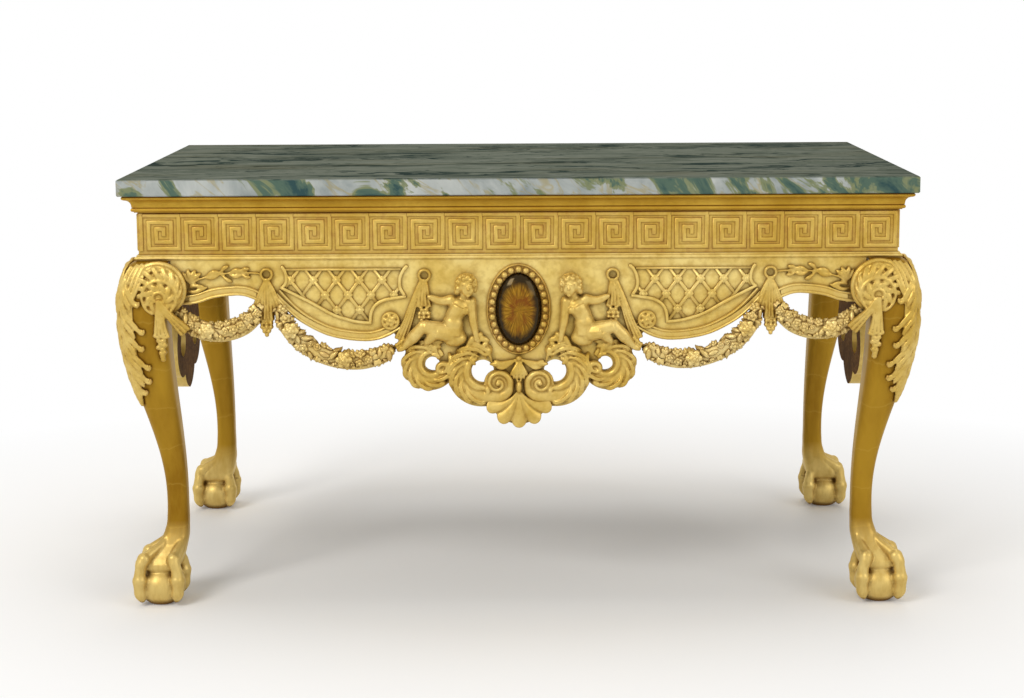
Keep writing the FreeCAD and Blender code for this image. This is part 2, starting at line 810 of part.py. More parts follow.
def front_space(name, face):
    """Everything in front of an apron's face."""
    box = primitive("Box", name, Length=4000, Width=300, Height=2000)
    return place(box, -2000, -face - 300, -500)


def ball(name, face, point, radius):
    """A sphere at (from the middle, below the apron top, beyond the face)."""
    return place(primitive("Sphere", name, Radius=radius), point[0], -face - point[2], below(point[1]))


def limb(name, face, start, end, first, last):
    """A cone between two points given as (from the middle, below the apron top, beyond the face)."""
    along = Vector(end[0] - start[0], start[2] - end[2], start[1] - end[1])
    cone = primitive("Cone", name, Radius1=first, Radius2=last, Height=along.Length)
    turn = Rotation(Vector(0, 0, 1), along)
    return place(cone, start[0], -face - start[2], below(start[1]), turn)


def make_inner_scroll(name, face):
    """Large leaf scroll of the pendant, ending in a round eye."""
    tube = s["scroll_tube"] / 2
    path = s["inner_scroll_radius"] - tube
    taper = [(78, 1.06, 0.4), (45, 1.02, 0.75), (10, 1, 1), (-30, 1, 1), (-65, 1, 1), (-100, 0.98, 0.95)]
    taper += [(-135, 0.88, 0.8), (-165, 0.74, 0.62)]
    body = horn(f"{name}_leaf", face, inner_scroll, [(a, path * r, tube * t) for a, r, t in taper])
    eye = primitive("Sphere", f"{name}_eye", Radius=tube)
    place(eye, inner_scroll[0] - 30, -face, inner_scroll[1] - 20)
    return [body, eye]


def make_outer_scroll(name, face):
    """Small leaf scroll beside the pendant."""
    tube = s["scroll_tube"] / 2
    path = s["outer_scroll_radius"] - tube
    taper = [(110, 1, 0.5), (70, 1.02, 0.8), (30, 1, 1), (-10, 1, 1), (-50, 1, 1), (-90, 1, 1)]
    taper += [(-130, 0.98, 0.9), (-165, 0.95, 0.75), (-195, 0.9, 0.5)]
    return horn(f"{name}_leaf", face, outer_scroll, [(a, path * r, tube * t) for a, r, t in taper])


def make_shell(name, face, hub_drop, reach, spread, direction):
    """A fan of rounded ribs round a hub, pointing up (1) or down (-1)."""
    pieces = [ball(f"{name}_hub", face, (0, hub_drop, 2), 15)]
    rib = s["shell_relief"] * 0.7
    for number in range(SHELL_RIBS):
        lean = math.radians(spread * (number - (SHELL_RIBS - 1) / 2))
        length = (reach - rib.value) * (1 - 0.12 * abs(lean))
        end = (length * math.sin(lean), hub_drop.value - direction * length * math.cos(lean), 4)
        pieces.append(limb(f"{name}_rib_{number}", face, (0, hub_drop.value, 1), end, 6, rib))
        pieces.append(ball(f"{name}_end_{number}", face, end, rib))
    return pieces


def make_drapery(name, face, middle, long, hem):
    """A ring with a hanging cloth drop, half round with its flat back on the face."""
    drop = new_body(f"{name}_drop_body")
    sketch = new_sketch(drop, "XZ_Plane", f"{name}_drop_profile")
    drop_outline(sketch, long, hem * 0.45, hem)
    revolve(drop, sketch, f"{name}_drop", 180)
    place(drop, middle, -face, below(s["ring_drop"] + 4), Rotation(Vector(0, 0, 1), -90))
    tube = s["ring_radius"] * 0.3
    ring = primitive("Torus", f"{name}_ring", Radius1=s["ring_radius"] - tube, Radius2=tube)
    place(ring, middle, -face - tube - 0.4, below(s["ring_drop"]), Rotation(Vector(1, 0, 0), 90))
    return joined(name, [drop, ring])


def make_cloth(name, face, start, end):
    """A slanting fall of cloth with a flat back, its ends (from the middle, below the apron top, radius)."""
    body = new_body(f"{name}_body")
    sections = []
    for label, (x, drop, radius) in (("upper", start), ("lower", end)):
        sketch = new_sketch(body, "XY_Plane", f"{name}_{label}", below(drop))
        outline(sketch, [(x + radius, -face), (x - radius, -face, (x, -face - radius))])
        sections.append(sketch)
    loft = body.newObject("PartDesign::AdditiveLoft", name)
    loft.Profile = sections[0]
    loft.Sections = sections[1:]
    return body


# Trellis outline: from the middle, below the apron top, then which way its frame lies, and its arc if any.
TRELLIS = [
    ((447, 20), (-1, -1), None),
    ((226, 18), (1, -1), None),
    ((215, 68), (1, 0.5), None),
    ((236, 75), (0.7, 1), (272, 92)),
    ((285, 120), (0.3, 1.2), (374, 97)),
    ((457, 55), (-1, 0.5), None),
]
LATTICE_START = (436, 42)
LATTICE_ROWS = 4
LATTICE_COLUMNS = 6
ROSETTES = [(0, 0), (1, 0), (2, 0), (3, 0), (4, 0), (0, 1), (1, 1), (2, 1), (3, 1), (2, 2), (3, 2)]


def trellis_corners(inset):
    """The trellis outline, moved inwards by an inset."""
    corners = []
    for (x, drop), (in_x, in_z), bend in TRELLIS:
        corner = (x + inset * in_x, below(drop) + inset * in_z)
        if bend:
            corner += ((bend[0] + inset * 0.4, below(bend[1]) + inset),)
        corners.append(corner)
    return corners


def make_trellis(name, face):
    """A framed panel of crossed bars with a rosette on each crossing."""
    frame = new_body(f"{name}_frame_body")
    outer = new_sketch(frame, "XZ_Plane", f"{name}_frame_outline", face)
    outline(outer, trellis_corners(s["trellis_border"] * 0))
    pad(frame, outer, f"{name}_frame", s["trellis_proud"])
    inner = new_sketch(frame, "XZ_Plane", f"{name}_frame_inside", face)
    outline(inner, trellis_corners(s["trellis_border"]))
    pocket_through(frame, inner, f"{name}_frame_opening")
    bars = new_body(f"{name}_bars_body")
    field = new_sketch(bars, "XZ_Plane", f"{name}_field", face)
    outline(field, trellis_corners(s["trellis_border"] * 0.6))
    pad(bars, field, f"{name}_panel", s["lattice_proud"])
    openings = new_sketch(bars, "XZ_Plane", f"{name}_openings", face)
    pitch = s["lattice_pitch"]
    row_step = s["lattice_row"]
    wide = pitch / 2 - s["lattice_bar"] * 0.62
    tall = row_step - s["lattice_bar"] * 0.82
    for row in range(LATTICE_ROWS):
        for column in range(LATTICE_COLUMNS):
            x = LATTICE_START[0] - pitch * (column + 0.5 * (row % 2) - 0.5)
            z = below(LATTICE_START[1]) - row_step * row
            outline(openings, [(x - wide, z), (x, z - tall), (x + wide, z), (x, z + tall)])
    pocket_through(bars, openings, f"{name}_lattice")
    pieces = [frame, bars]
    for number, (column, row) in enumerate(ROSETTES):
        rosette = primitive(
            "Cone", f"{name}_rosette_{number}",
            Radius1=s["rosette_radius"], Radius2=s["rosette_radius"] * 0.55, Height=s["lattice_proud"] + 3,
        )
        x = LATTICE_START[0] - pitch * (column + 0.5 * (row % 2))
        z = below(LATTICE_START[1]) - row_step * row
        pieces.append(place(rosette, x, -face, z, Rotation(Vector(1, 0, 0), 90)))
    return joined(name, pieces)


def oval_corners(width, height, middle):
    """An oval of eight arcs through true points of the ellipse."""
    corners = []
    for step in range(8):
        here = math.radians(45 * step)
        bend = math.radians(45 * step + 22.5)
        points = [(width / 2 * math.cos(a), middle + height / 2 * math.sin(a)) for a in (here, bend)]
        corners.append(points[0] + (points[1],))
    return corners


def make_oval(face):
    """Oval frame with an eased rim, and the domed cabochon that lies inside it."""
    middle = below(s["oval_drop"])
    body = new_body("oval_body")
    rim = new_sketch(body, "XZ_Plane", "oval_rim", face)
    outline(rim, oval_corners(s["oval_width"], s["oval_height"], middle))
    pad(body, rim, "oval_ring", s["oval_proud"])
    opening = new_sketch(body, "XZ_Plane", "oval_opening", face)
    border = s["oval_border"] * 2
    outline(opening, oval_corners(s["oval_width"] - border, s["oval_height"] - border, middle))
    hole = pocket_through(body, opening, "oval_hole")
    doc.recompute()
    level = -value_of(face + s["oval_proud"])
    rims = [
        f"Edge{number}" for number, edge in enumerate(hole.Shape.Edges, start=1)
        if all(abs(v.Y - level) < 1e-6 for v in edge.Vertexes)
    ]
    ease = body.newObject("PartDesign::Fillet", "oval_ease")
    ease.Base = (hole, rims)
    bind(ease, "Radius", s["oval_proud"] * 0.4)
    stone = primitive(
        "Ellipsoid", "cabochon", Radius1=s["oval_proud"] + s["stone_proud"],
        Radius2=s["oval_width"] / 2 - s["oval_border"] - s["fit_gap"] * 2,
        Radius3=s["oval_height"] / 2 - s["oval_border"] - s["fit_gap"] * 2, Angle1=0,
    )
    place(stone, 0, -face, middle, Rotation(Vector(1, 0, 0), 90))
    return body, stone


# The seated figure: joints as (from the middle, below the apron top, beyond the face), then the radius.
FIGURE_BALLS = {
    "head": ((99, 48, 12), 22),
    "chest": ((115, 95, 3), 23),
    "belly": ((120, 122, 3), 25),
    "hip": ((124, 146, 2), 24),
    "shoulder_out": ((132, 78, 4), 12),
    "shoulder_in": ((98, 80, 4), 12),
    "elbow_out": ((153, 88, 7), 10),
    "hand_out": ((167, 72, 8), 9),
    "elbow_in": ((86, 118, 8), 10),
    "hand_in": ((80, 152, 6), 9),
    "knee_out": ((172, 132, 12), 15),
    "foot_out": ((213, 164, 7), 9),
    "knee_in": ((146, 160, 16), 15),
    "foot_in": ((140, 192, 10), 10),
}
FIGURE_LIMBS = [
    ("chest", "belly"), ("belly", "hip"), ("head", "chest"), ("shoulder_out", "elbow_out"),
    ("elbow_out", "hand_out"), ("shoulder_in", "elbow_in"), ("elbow_in", "hand_in"),
    ("hip", "knee_out"), ("knee_out", "foot_out"), ("hip", "knee_in"), ("knee_in", "foot_in"),
]


def make_figure(name, face):
    """A seated figure in half relief, built of rounded masses."""
    pieces = [ball(f"{name}_{joint}", face, point, r) for joint, (point, r) in FIGURE_BALLS.items()]
    for first, last in FIGURE_LIMBS:
        (start, r1), (end, r2) = FIGURE_BALLS[first], FIGURE_BALLS[last]
        slim = 0.5 if first == "head" else 0.92
        pieces.append(limb(f"{name}_{first}_{last}", face, start, end, r1 * slim, r2 * 0.92))
    return pieces


def swag_stations(radius, first, last, steps=8):
    """Stations of a garland that is thickest in the middle."""
    found = []
    for step in range(steps + 1):
        share = step / steps
        swell = math.sin(math.pi * share)
        thick = s["swag_end"] + (s["swag_radius"] - s["swag_end"]) * swell
        found.append((first + (last - first) * share, radius, thick))
    return found


# Garlands: middle of the curve from the middle of the side and below the apron top, its radius, its angles.
SWAGS = {
    "outer_swag": (578, 45, 92.5, (-33, -151)),
    "inner_swag": (316.5, 38, 155.5, (-19, -119)),
    "end_swag": (218, 45, 88, (-36, -148)),
}


def make_swag(name, face):
    """A garland that hangs in a round curve."""
    along, drop, radius, angles = SWAGS[name]
    return horn(name, face, (along, below(drop)), swag_stations(radius, *angles), s["swag_radius"] * 0.35)


def four_ways(kind, source, first):
    """Names a corner or half piece and its mirror images; the first says which one was modelled."""
    other = {"front": "back", "back": "front", "left": "right", "right": "left"}
    end, side = first.split("_")
    across = mirrored(f"{kind}_across", source, Vector(1, 0, 0))
    node(f"{kind}_{end}_{side}", source)
    node(f"{kind}_{end}_{other[side]}", across)
    node(f"{kind}_{other[end]}_{side}", mirrored(f"{kind}_behind", source, Vector(0, 1, 0)))
    node(f"{kind}_{other[end]}_{other[side]}", mirrored(f"{kind}_opposite", across, Vector(0, 1, 0)))


def front_and_back(kind, source):
    node(f"{kind}_front", source)
    node(f"{kind}_back", mirrored(f"{kind}_behind", source, Vector(0, 1, 0)))


def right_and_left(kind, source):
    """Turns a piece modelled on the front's side of the frame to face right, and left."""
    node(f"{kind}_right", mirrored(f"{kind}_to_right", source, Vector(1, 1, 0)))
    node(f"{kind}_left", mirrored(f"{kind}_to_left", source, Vector(1, -1, 0)))


def make_long_sides():
    """Pierced front and back aprons with everything that is carved on them."""
    face = half_y
    holes = [
        ((outer_scroll[0] - 6, outer_scroll[1]), scroll_hole * 0.75),
        ((inner_scroll[0] - 2, inner_scroll[1] + 6), scroll_hole * 1.2),
    ]
    apron = make_apron("apron_long", face, long_edge(), [(2, 5), (5, 9)], holes)
    front_and_back("apron", apron)
    space = front_space("long_space", face)
    four_ways("trellis", make_trellis("trellis", face), "front_right")
    frame, stone = make_oval(face)
    front_and_back("oval_frame", frame)
    front_and_back("cabochon", stone)
    shell = make_shell("long_shell", face, s["shell_drop"] - 80, 80, 26, -1)
    shell = common("shell_long", joined("long_shell_fan", shell), space)
    scrolls = make_inner_scroll("long_inner", face) + [make_outer_scroll("long_outer", face)]
    scrolls = common("scrolls_long", joined("long_scroll_pair", scrolls), space)
    scrolls = cut("scrolls_long_cut", scrolls, shell)
    front_and_back("shell_pendant", shell)
    four_ways("scrolls", scrolls, "front_right")
    tassel = make_drapery("long_tassel", face, s["tassel_place"], s["tassel_long"], s["tassel_radius"])
    short = make_drapery(
        "figure_tassel", face, s["figure_ring"], s["tassel_long"] * 0.78, s["tassel_radius"] * 0.8)
    cloth = make_cloth("figure_cloth", face, (s["figure_ring"] + 2, 34, 6), (s["figure_ring"] + 50, 164, 14))
    cloth = cut_clear("figure_cloth", cloth, [nodes["trellis_front_right"], scrolls])
    drapes = doc.addObject("Part::Compound", "drapery_long")
    drapes.Links = [tassel, joined("figure_drapes", [short, cloth])]
    four_ways("drapery", drapes, "front_right")
    figure = common("figure_long", joined("figure_masses", make_figure("figure", face)), space)
    figure = cut_clear("figure", figure, [drapes, scrolls, nodes["trellis_front_right"]])
    four_ways("figure", figure, "front_right")
    swags = joined("long_swags", [make_swag("outer_swag", face), make_swag("inner_swag", face)])
    neighbours = [apron, drapes, scrolls, nodes["knee_carving_front_right"], nodes["leg_front_right"]]
    four_ways("garland", cut_clear("garland", swags, neighbours), "front_right")


def make_short_sides():
    """Pierced end aprons with a garland, a drapery pair and a scrolled pendant."""
    face = half_x
    holes = [((inner_scroll[0] - 2, inner_scroll[1] + 6), scroll_hole * 1.2)]
    apron = make_apron("apron_short", face, short_edge(), [(2, 5)], holes)
    right_and_left("apron", apron)
    space = front_space("short_space", face)
    shells = make_shell("short_shell", face, s["shell_drop"] - 80, 80, 26, -1)
    shells += make_shell("end_shell", face, s["oval_drop"] + 40, 105, 32, 1)
    half = joined("short_scroll", make_inner_scroll("short_inner", face))
    pendant = [half, mirrored("short_scroll_pair", half, Vector(1, 0, 0))] + shells
    pendant = common("pendant_short", joined("pendant_masses", pendant), space)
    right_and_left("pendant", pendant)
    drapes = make_drapery("short_tassel", face, s["end_tassel_place"], s["tassel_long"], s["tassel_radius"])
    swag = make_swag("end_swag", face)
    festoon = joined("festoon", [drapes, cut_clear("end_swag", swag, [apron, drapes, pendant])])
    pair = doc.addObject("Part::Compound", "festoon_pair")
    pair.Links = [festoon, mirrored("festoon_across", festoon, Vector(1, 0, 0))]
    right_and_left("festoon", pair)


def make_bearers():
    """Cross bearers under the marble, with the blocks and screws that hold them to the frieze."""
    thick = s["bearer_thick"]
    block = s["block_square"]
    bearer_low = slab_bottom - thick
    bearers = []
    blocks = []
    screws = []
    holes = []
    for row, across in enumerate((-s["bearer_place"], Dim(0, "0"), s["bearer_place"])):
        bar = primitive("Box", f"bearer_{row}", Length=s["bearer_width"], Width=inner_y * 2, Height=thick)
        bearers.append(place(bar, across - s["bearer_width"] / 2, -inner_y, bearer_low))
        for end, way in (("front", -1), ("back", 1)):
            low_y = -inner_y if way < 0 else inner_y - block
            glue = primitive("Box", f"block_{row}_{end}", Length=s["block_long"], Width=block, Height=block)
            blocks.append(place(glue, across - s["block_long"] / 2, low_y, bearer_low - block))
            middle = low_y + block / 2
            pilot = f"pilot_{row}_{end}"
            bore = s["screw_radius"] + s["fit_gap"]
            hole = primitive("Cylinder", pilot, Radius=bore, Height=s["screw_long"] + 1)
            holes.append(place(hole, across, middle, bearer_low - block))
            body = new_body(f"screw_{row}_{end}_body")
            profile = new_sketch(body, "XZ_Plane", f"screw_{row}_{end}_profile")
            outline(profile, [
                (0, -3),
                (s["screw_head"] * 0.6, -3, (s["screw_head"] * 0.9, -2)),
                (s["screw_head"], 0),
                (s["screw_radius"], 0),
                (s["screw_radius"], s["screw_long"] - 6),
                (0, s["screw_long"]),
            ])
            revolve(body, profile, f"screw_{row}_{end}")
            screws.append(place(body, across, middle, bearer_low - block))
    drill = joined("pilot_holes", holes)
    for kind, pieces in (("cross_bearers", bearers), ("glue_blocks", blocks)):
        group = doc.addObject("Part::Compound", f"{kind}_group")
        group.Links = pieces
        node(kind, cut(kind, group, drill))
    group = doc.addObject("Part::Compound", "bearer_screws_group")
    group.Links = screws
    node("bearer_screws", group)


make_marble_top()
make_box_frame()
back_right_leg = make_leg()
four_ways("leg", back_right_leg, "back_right")
four_ways("knee_carving", make_knee_carving(back_right_leg), "back_right")
make_long_sides()
make_short_sides()
make_bearers()


def write_parts():
    """Checks every object and piece, then writes one STEP file for each piece."""
    doc.recompute()
    for item in doc.Objects:
        if "Invalid" in item.State or "Error" in item.State:
            raise RuntimeError(f"{item.Name} failed: {item.State}")
    os.makedirs("parts", exist_ok=True)
    for name, item in nodes.items():
        shape = item.Shape
        if shape.isNull() or not shape.isValid() or not shape.Solids:
            raise RuntimeError(f"{name} is not a valid solid")
        shape.exportStep(f"parts/{name}.step")


write_parts()
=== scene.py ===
import math

import bmesh
import bpy
import numpy as np
from mathutils import Matrix, Vector


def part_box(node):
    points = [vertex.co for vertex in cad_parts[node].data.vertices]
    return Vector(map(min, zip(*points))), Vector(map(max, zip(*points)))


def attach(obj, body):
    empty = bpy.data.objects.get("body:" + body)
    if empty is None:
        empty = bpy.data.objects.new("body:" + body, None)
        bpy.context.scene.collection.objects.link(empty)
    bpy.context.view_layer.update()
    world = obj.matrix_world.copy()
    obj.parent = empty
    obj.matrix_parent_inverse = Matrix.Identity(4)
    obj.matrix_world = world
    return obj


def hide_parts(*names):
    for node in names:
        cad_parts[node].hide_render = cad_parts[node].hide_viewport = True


# Carved and gilded centre table with a loose marble top.
# Shapes are written in millimetres in side space (along a side, outwards from its face, up)
# and become metres in the table's own frame when their mesh is made.
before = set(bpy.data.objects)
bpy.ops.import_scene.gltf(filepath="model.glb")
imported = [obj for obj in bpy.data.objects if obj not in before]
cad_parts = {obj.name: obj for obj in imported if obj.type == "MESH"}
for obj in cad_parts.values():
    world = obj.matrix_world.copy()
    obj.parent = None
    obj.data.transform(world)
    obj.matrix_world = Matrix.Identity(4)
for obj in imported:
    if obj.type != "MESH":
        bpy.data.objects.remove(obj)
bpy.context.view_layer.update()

MM = 0.001


def node_box(name):
    """Lowest and highest corner of a CAD node, in millimetres."""
    low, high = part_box(name)
    return np.array(low) / MM, np.array(high) / MM


# Sizes that come from the frame
HALF_X = node_box("frieze_right")[1][0]
HALF_Y = node_box("frieze_back")[1][1]
FRIEZE_LOW, FRIEZE_HIGH = (node_box("frieze_front")[end][2] for end in (0, 1))
SLAB_LOW = node_box("marble_top")[0][2]
APRON_TOP = node_box("apron_front")[1][2]
SHELL_TIP = node_box("shell_pendant_front")[0][2]

# Sides of the table: turn about the middle, face distance
SIDES = {"front": (0, HALF_Y), "right": (90, HALF_X), "back": (180, HALF_Y), "left": (270, HALF_X)}
LONG_SIDES = ("front", "back")
HANDS = {"right": 1, "left": -1}
CORNERS = {"front_right": (1, -1), "front_left": (-1, -1), "back_right": (1, 1), "back_left": (-1, 1)}

# Photograph's camera: place in metres, pitch and roll in degrees, frame shift as shares of its width
CAMERA_PLACE = (0.002, -3.930, 1.204)
CAMERA_PITCH = 7.92
CAMERA_ROLL = 0.277
CAMERA_LENS = 65.95
CAMERA_SHIFT = (-0.0072, -0.10)


# Node helpers for materials

def new_material(name):
    material = bpy.data.materials.new(name)
    material.use_nodes = True
    material.node_tree.nodes.clear()
    return material


class Shader:
    """Short calls that add nodes to one material or to the world."""

    def __init__(self, name, tree=None):
        self.material = None if tree else new_material(name)
        self.tree = tree or self.material.node_tree

    def add(self, kind, inputs=None, **settings):
        node = self.tree.nodes.new(kind)
        for key, value in settings.items():
            setattr(node, key, value)
        for key, value in (inputs or {}).items():
            if isinstance(value, bpy.types.NodeSocket):
                self.tree.links.new(value, node.inputs[key])
            else:
                node.inputs[key].default_value = value
        return node

    def coordinates(self, scale=(1, 1, 1), turn=(0, 0, 0), place=(0, 0, 0)):
        where = self.add("ShaderNodeTexCoord").outputs["Object"]
        return self.add("ShaderNodeMapping", {
            "Vector": where, "Scale": scale, "Rotation": turn, "Location": place}).outputs[0]

    def level(self):
        """Height above the floor."""
        return self.add("ShaderNodeSeparateXYZ", {"Vector": self.coordinates()}).outputs["Z"]

    def noise(self, vector, scale, detail=4.0, rough=0.55, distortion=0.0):
        return self.add("ShaderNodeTexNoise", {
            "Vector": vector, "Scale": scale, "Detail": detail, "Roughness": rough,
            "Distortion": distortion}).outputs["Fac"]

    def ramp(self, factor, stops):
        """Colours or greys at places from 0 to 1."""
        node = self.add("ShaderNodeValToRGB", {"Fac": factor})
        for number, (place, value) in enumerate(stops):
            points = node.color_ramp.elements
            point = points[number] if number < 2 else points.new(place)
            point.position = place
            point.color = tuple(value) + (1,) if isinstance(value, tuple) else (value, value, value, 1)
        return node.outputs[0]

    def mix(self, factor, first, second):
        """From the first colour to the second as the factor rises."""
        inputs = {0: factor, 6: first, 7: second}
        for key, value in inputs.items():
            inputs[key] = value + (1,) if isinstance(value, tuple) else value
        return self.add("ShaderNodeMix", inputs, data_type="RGBA").outputs[2]

    def math(self, operation, first, second=0.0):
        return self.add("ShaderNodeMath", {0: first, 1: second}, operation=operation).outputs[0]

    def bump(self, height, strength, distance):
        return self.add("ShaderNodeBump", {
            "Height": height, "Strength": strength, "Distance": distance}).outputs[0]

    def seen(self):
        """One for a ray that shows a thing to the camera, straight or by gloss or glass."""
        path = self.add("ShaderNodeLightPath").outputs
        straight = self.math("MAXIMUM", path["Is Camera Ray"], path["Is Glossy Ray"])
        return self.math("MAXIMUM", straight, path["Is Transmission Ray"])

    def surface(self, **inputs):
        names = {key.replace("_", " ").title().replace("Ior", "IOR"): value for key, value in inputs.items()}
        return self.add("ShaderNodeBsdfPrincipled", names).outputs[0]

    def finish(self, **inputs):
        self.add("ShaderNodeOutputMaterial", {"Surface": self.surface(**inputs)})
        return self.material


def linear(red, green, blue):
    """A colour written as it looks on screen, 0 to 255, in the shader's own scale."""
    shares = (value / 255 for value in (red, green, blue))
    return tuple(x / 12.92 if x <= 0.04045 else ((x + 0.055) / 1.055) ** 2.4 for x in shares)


# Finishes

GOLD_PALE = linear(236, 209, 132)
GOLD_LIGHT = linear(224, 195, 114)
GOLD_MID = linear(200, 165, 75)
GOLD_DEEP = linear(171, 131, 38)
BOLE = linear(148, 84, 38)
# Colours of the painted shade that darkens the gold's hollows and the corners where parts close in
PAINTED_SHADE_BROWN = linear(104, 64, 6)
PAINTED_SHADE_RED = linear(120, 68, 12)
# Tints of the gleam on gold and on amber
GLEAM = (1.0, 0.84, 0.4, 1.0)
AMBER_GLEAM = (1.0, 0.66, 0.2, 1.0)


def gilding(name, light, mid, worn, streak=1.0, rough=0.34, painted_shade=0.9, shade=PAINTED_SHADE_BROWN, bright_foot=0.0,
            reach=0.016, shine=0.55, lap=0.0):
    """Gold leaf over red bole: bright on ridges, painted brown shade in hollows, rubbed through in places.

    Reach is how far the painted shade in hollows spreads, lap the height of one sheet of leaf, and the gold
    is paler below bright_foot, all in metres.
    """
    shader = Shader(name)
    plain = shader.coordinates()
    drawn = shader.coordinates(scale=(1, 1, streak))
    cloud = shader.noise(drawn, 13, 4, 0.55)
    mottle = shader.noise(drawn, 70, 4, 0.6)
    grain = shader.noise(plain, 620, 3, 0.6)
    leaf = shader.mix(shader.ramp(cloud, [(0.36, 0.0), (0.66, 1.0)]), mid, light)
    if bright_foot:
        near_floor = shader.ramp(shader.level(), [(bright_foot * 0.6, 0.75), (bright_foot, 0.0)])
        leaf = shader.mix(near_floor, leaf, GOLD_PALE)
    leaf = shader.mix(shader.ramp(mottle, [(0.36, 0.35), (0.58, 0.0)]), leaf, GOLD_DEEP)
    if lap:
        sheet = shader.math("ADD", shader.math("DIVIDE", shader.level(), lap),
                            shader.math("MULTIPLY", cloud, 0.7))
        joint = shader.ramp(shader.math("FRACT", sheet), [(0.0, 0.26), (0.03, 0.1), (0.05, 0.0)])
        leaf = shader.mix(joint, leaf, GOLD_MID)
    ridge = shader.add("ShaderNodeNewGeometry").outputs["Pointiness"]
    rubbed = shader.math("MULTIPLY", shader.ramp(ridge, [(0.52, 0.0), (0.58, 1.0)]),
                         shader.ramp(mottle, [(0.47, 0.0), (0.62, worn)]))
    bare = shader.math("MAXIMUM", rubbed, shader.ramp(
        shader.noise(plain, 34, 6, 0.7), [(0.64, 0.0), (0.78, worn * 0.7)]))
    colour = shader.mix(bare, leaf, BOLE)
    # Painted shade: ambient occlusion and concave pointiness darken the colour towards the shade colour
    closed = shader.add("ShaderNodeAmbientOcclusion", {"Distance": reach}, samples=8).outputs["AO"]
    painted_shade_mask = shader.math("MAXIMUM", shader.ramp(closed, [(0.34, painted_shade), (0.9, 0.0)]),
                       shader.ramp(ridge, [(0.43, painted_shade * 0.85), (0.493, 0.0)]))
    colour = shader.mix(painted_shade_mask, colour, shade)
    polish = shader.ramp(mottle, [(0.3, rough + 0.08), (0.7, rough - 0.05)])
    polish = shader.mix(painted_shade_mask, polish, (0.62, 0.62, 0.62))
    lumps = shader.math("ADD", shader.math("MULTIPLY", grain, 0.35), mottle)
    return shader.finish(base_color=colour, metallic=0.4, roughness=polish, specular_ior_level=shine,
                         specular_tint=GLEAM, normal=shader.bump(lumps, 0.16, 0.0005))


def raw_wood(name):
    """Old bare pine inside the frame, browned with age."""
    shader = Shader(name)
    drawn = shader.coordinates(scale=(0.35, 6, 6))
    fibre = shader.noise(drawn, 22, 6, 0.65, 0.4)
    stain = shader.noise(shader.coordinates(), 7, 4, 0.6)
    colour = shader.ramp(fibre, [
        (0.3, linear(76, 50, 24)), (0.52, linear(122, 86, 44)), (0.75, linear(150, 112, 62))])
    colour = shader.mix(shader.ramp(stain, [(0.45, 0.0), (0.7, 0.7)]), colour, linear(58, 38, 18))
    return shader.finish(base_color=colour, roughness=0.82, specular_ior_level=0.1,
                         normal=shader.bump(fibre, 0.4, 0.0008))


def screw_steel(name):
    shader = Shader(name)
    brushed = shader.noise(shader.coordinates(scale=(1, 1, 8)), 300, 3)
    colour = shader.ramp(brushed, [(0.3, linear(96, 92, 88)), (0.7, linear(150, 146, 140))])
    return shader.finish(base_color=colour, metallic=0.9, roughness=0.45,
                         normal=shader.bump(brushed, 0.15, 0.0002))


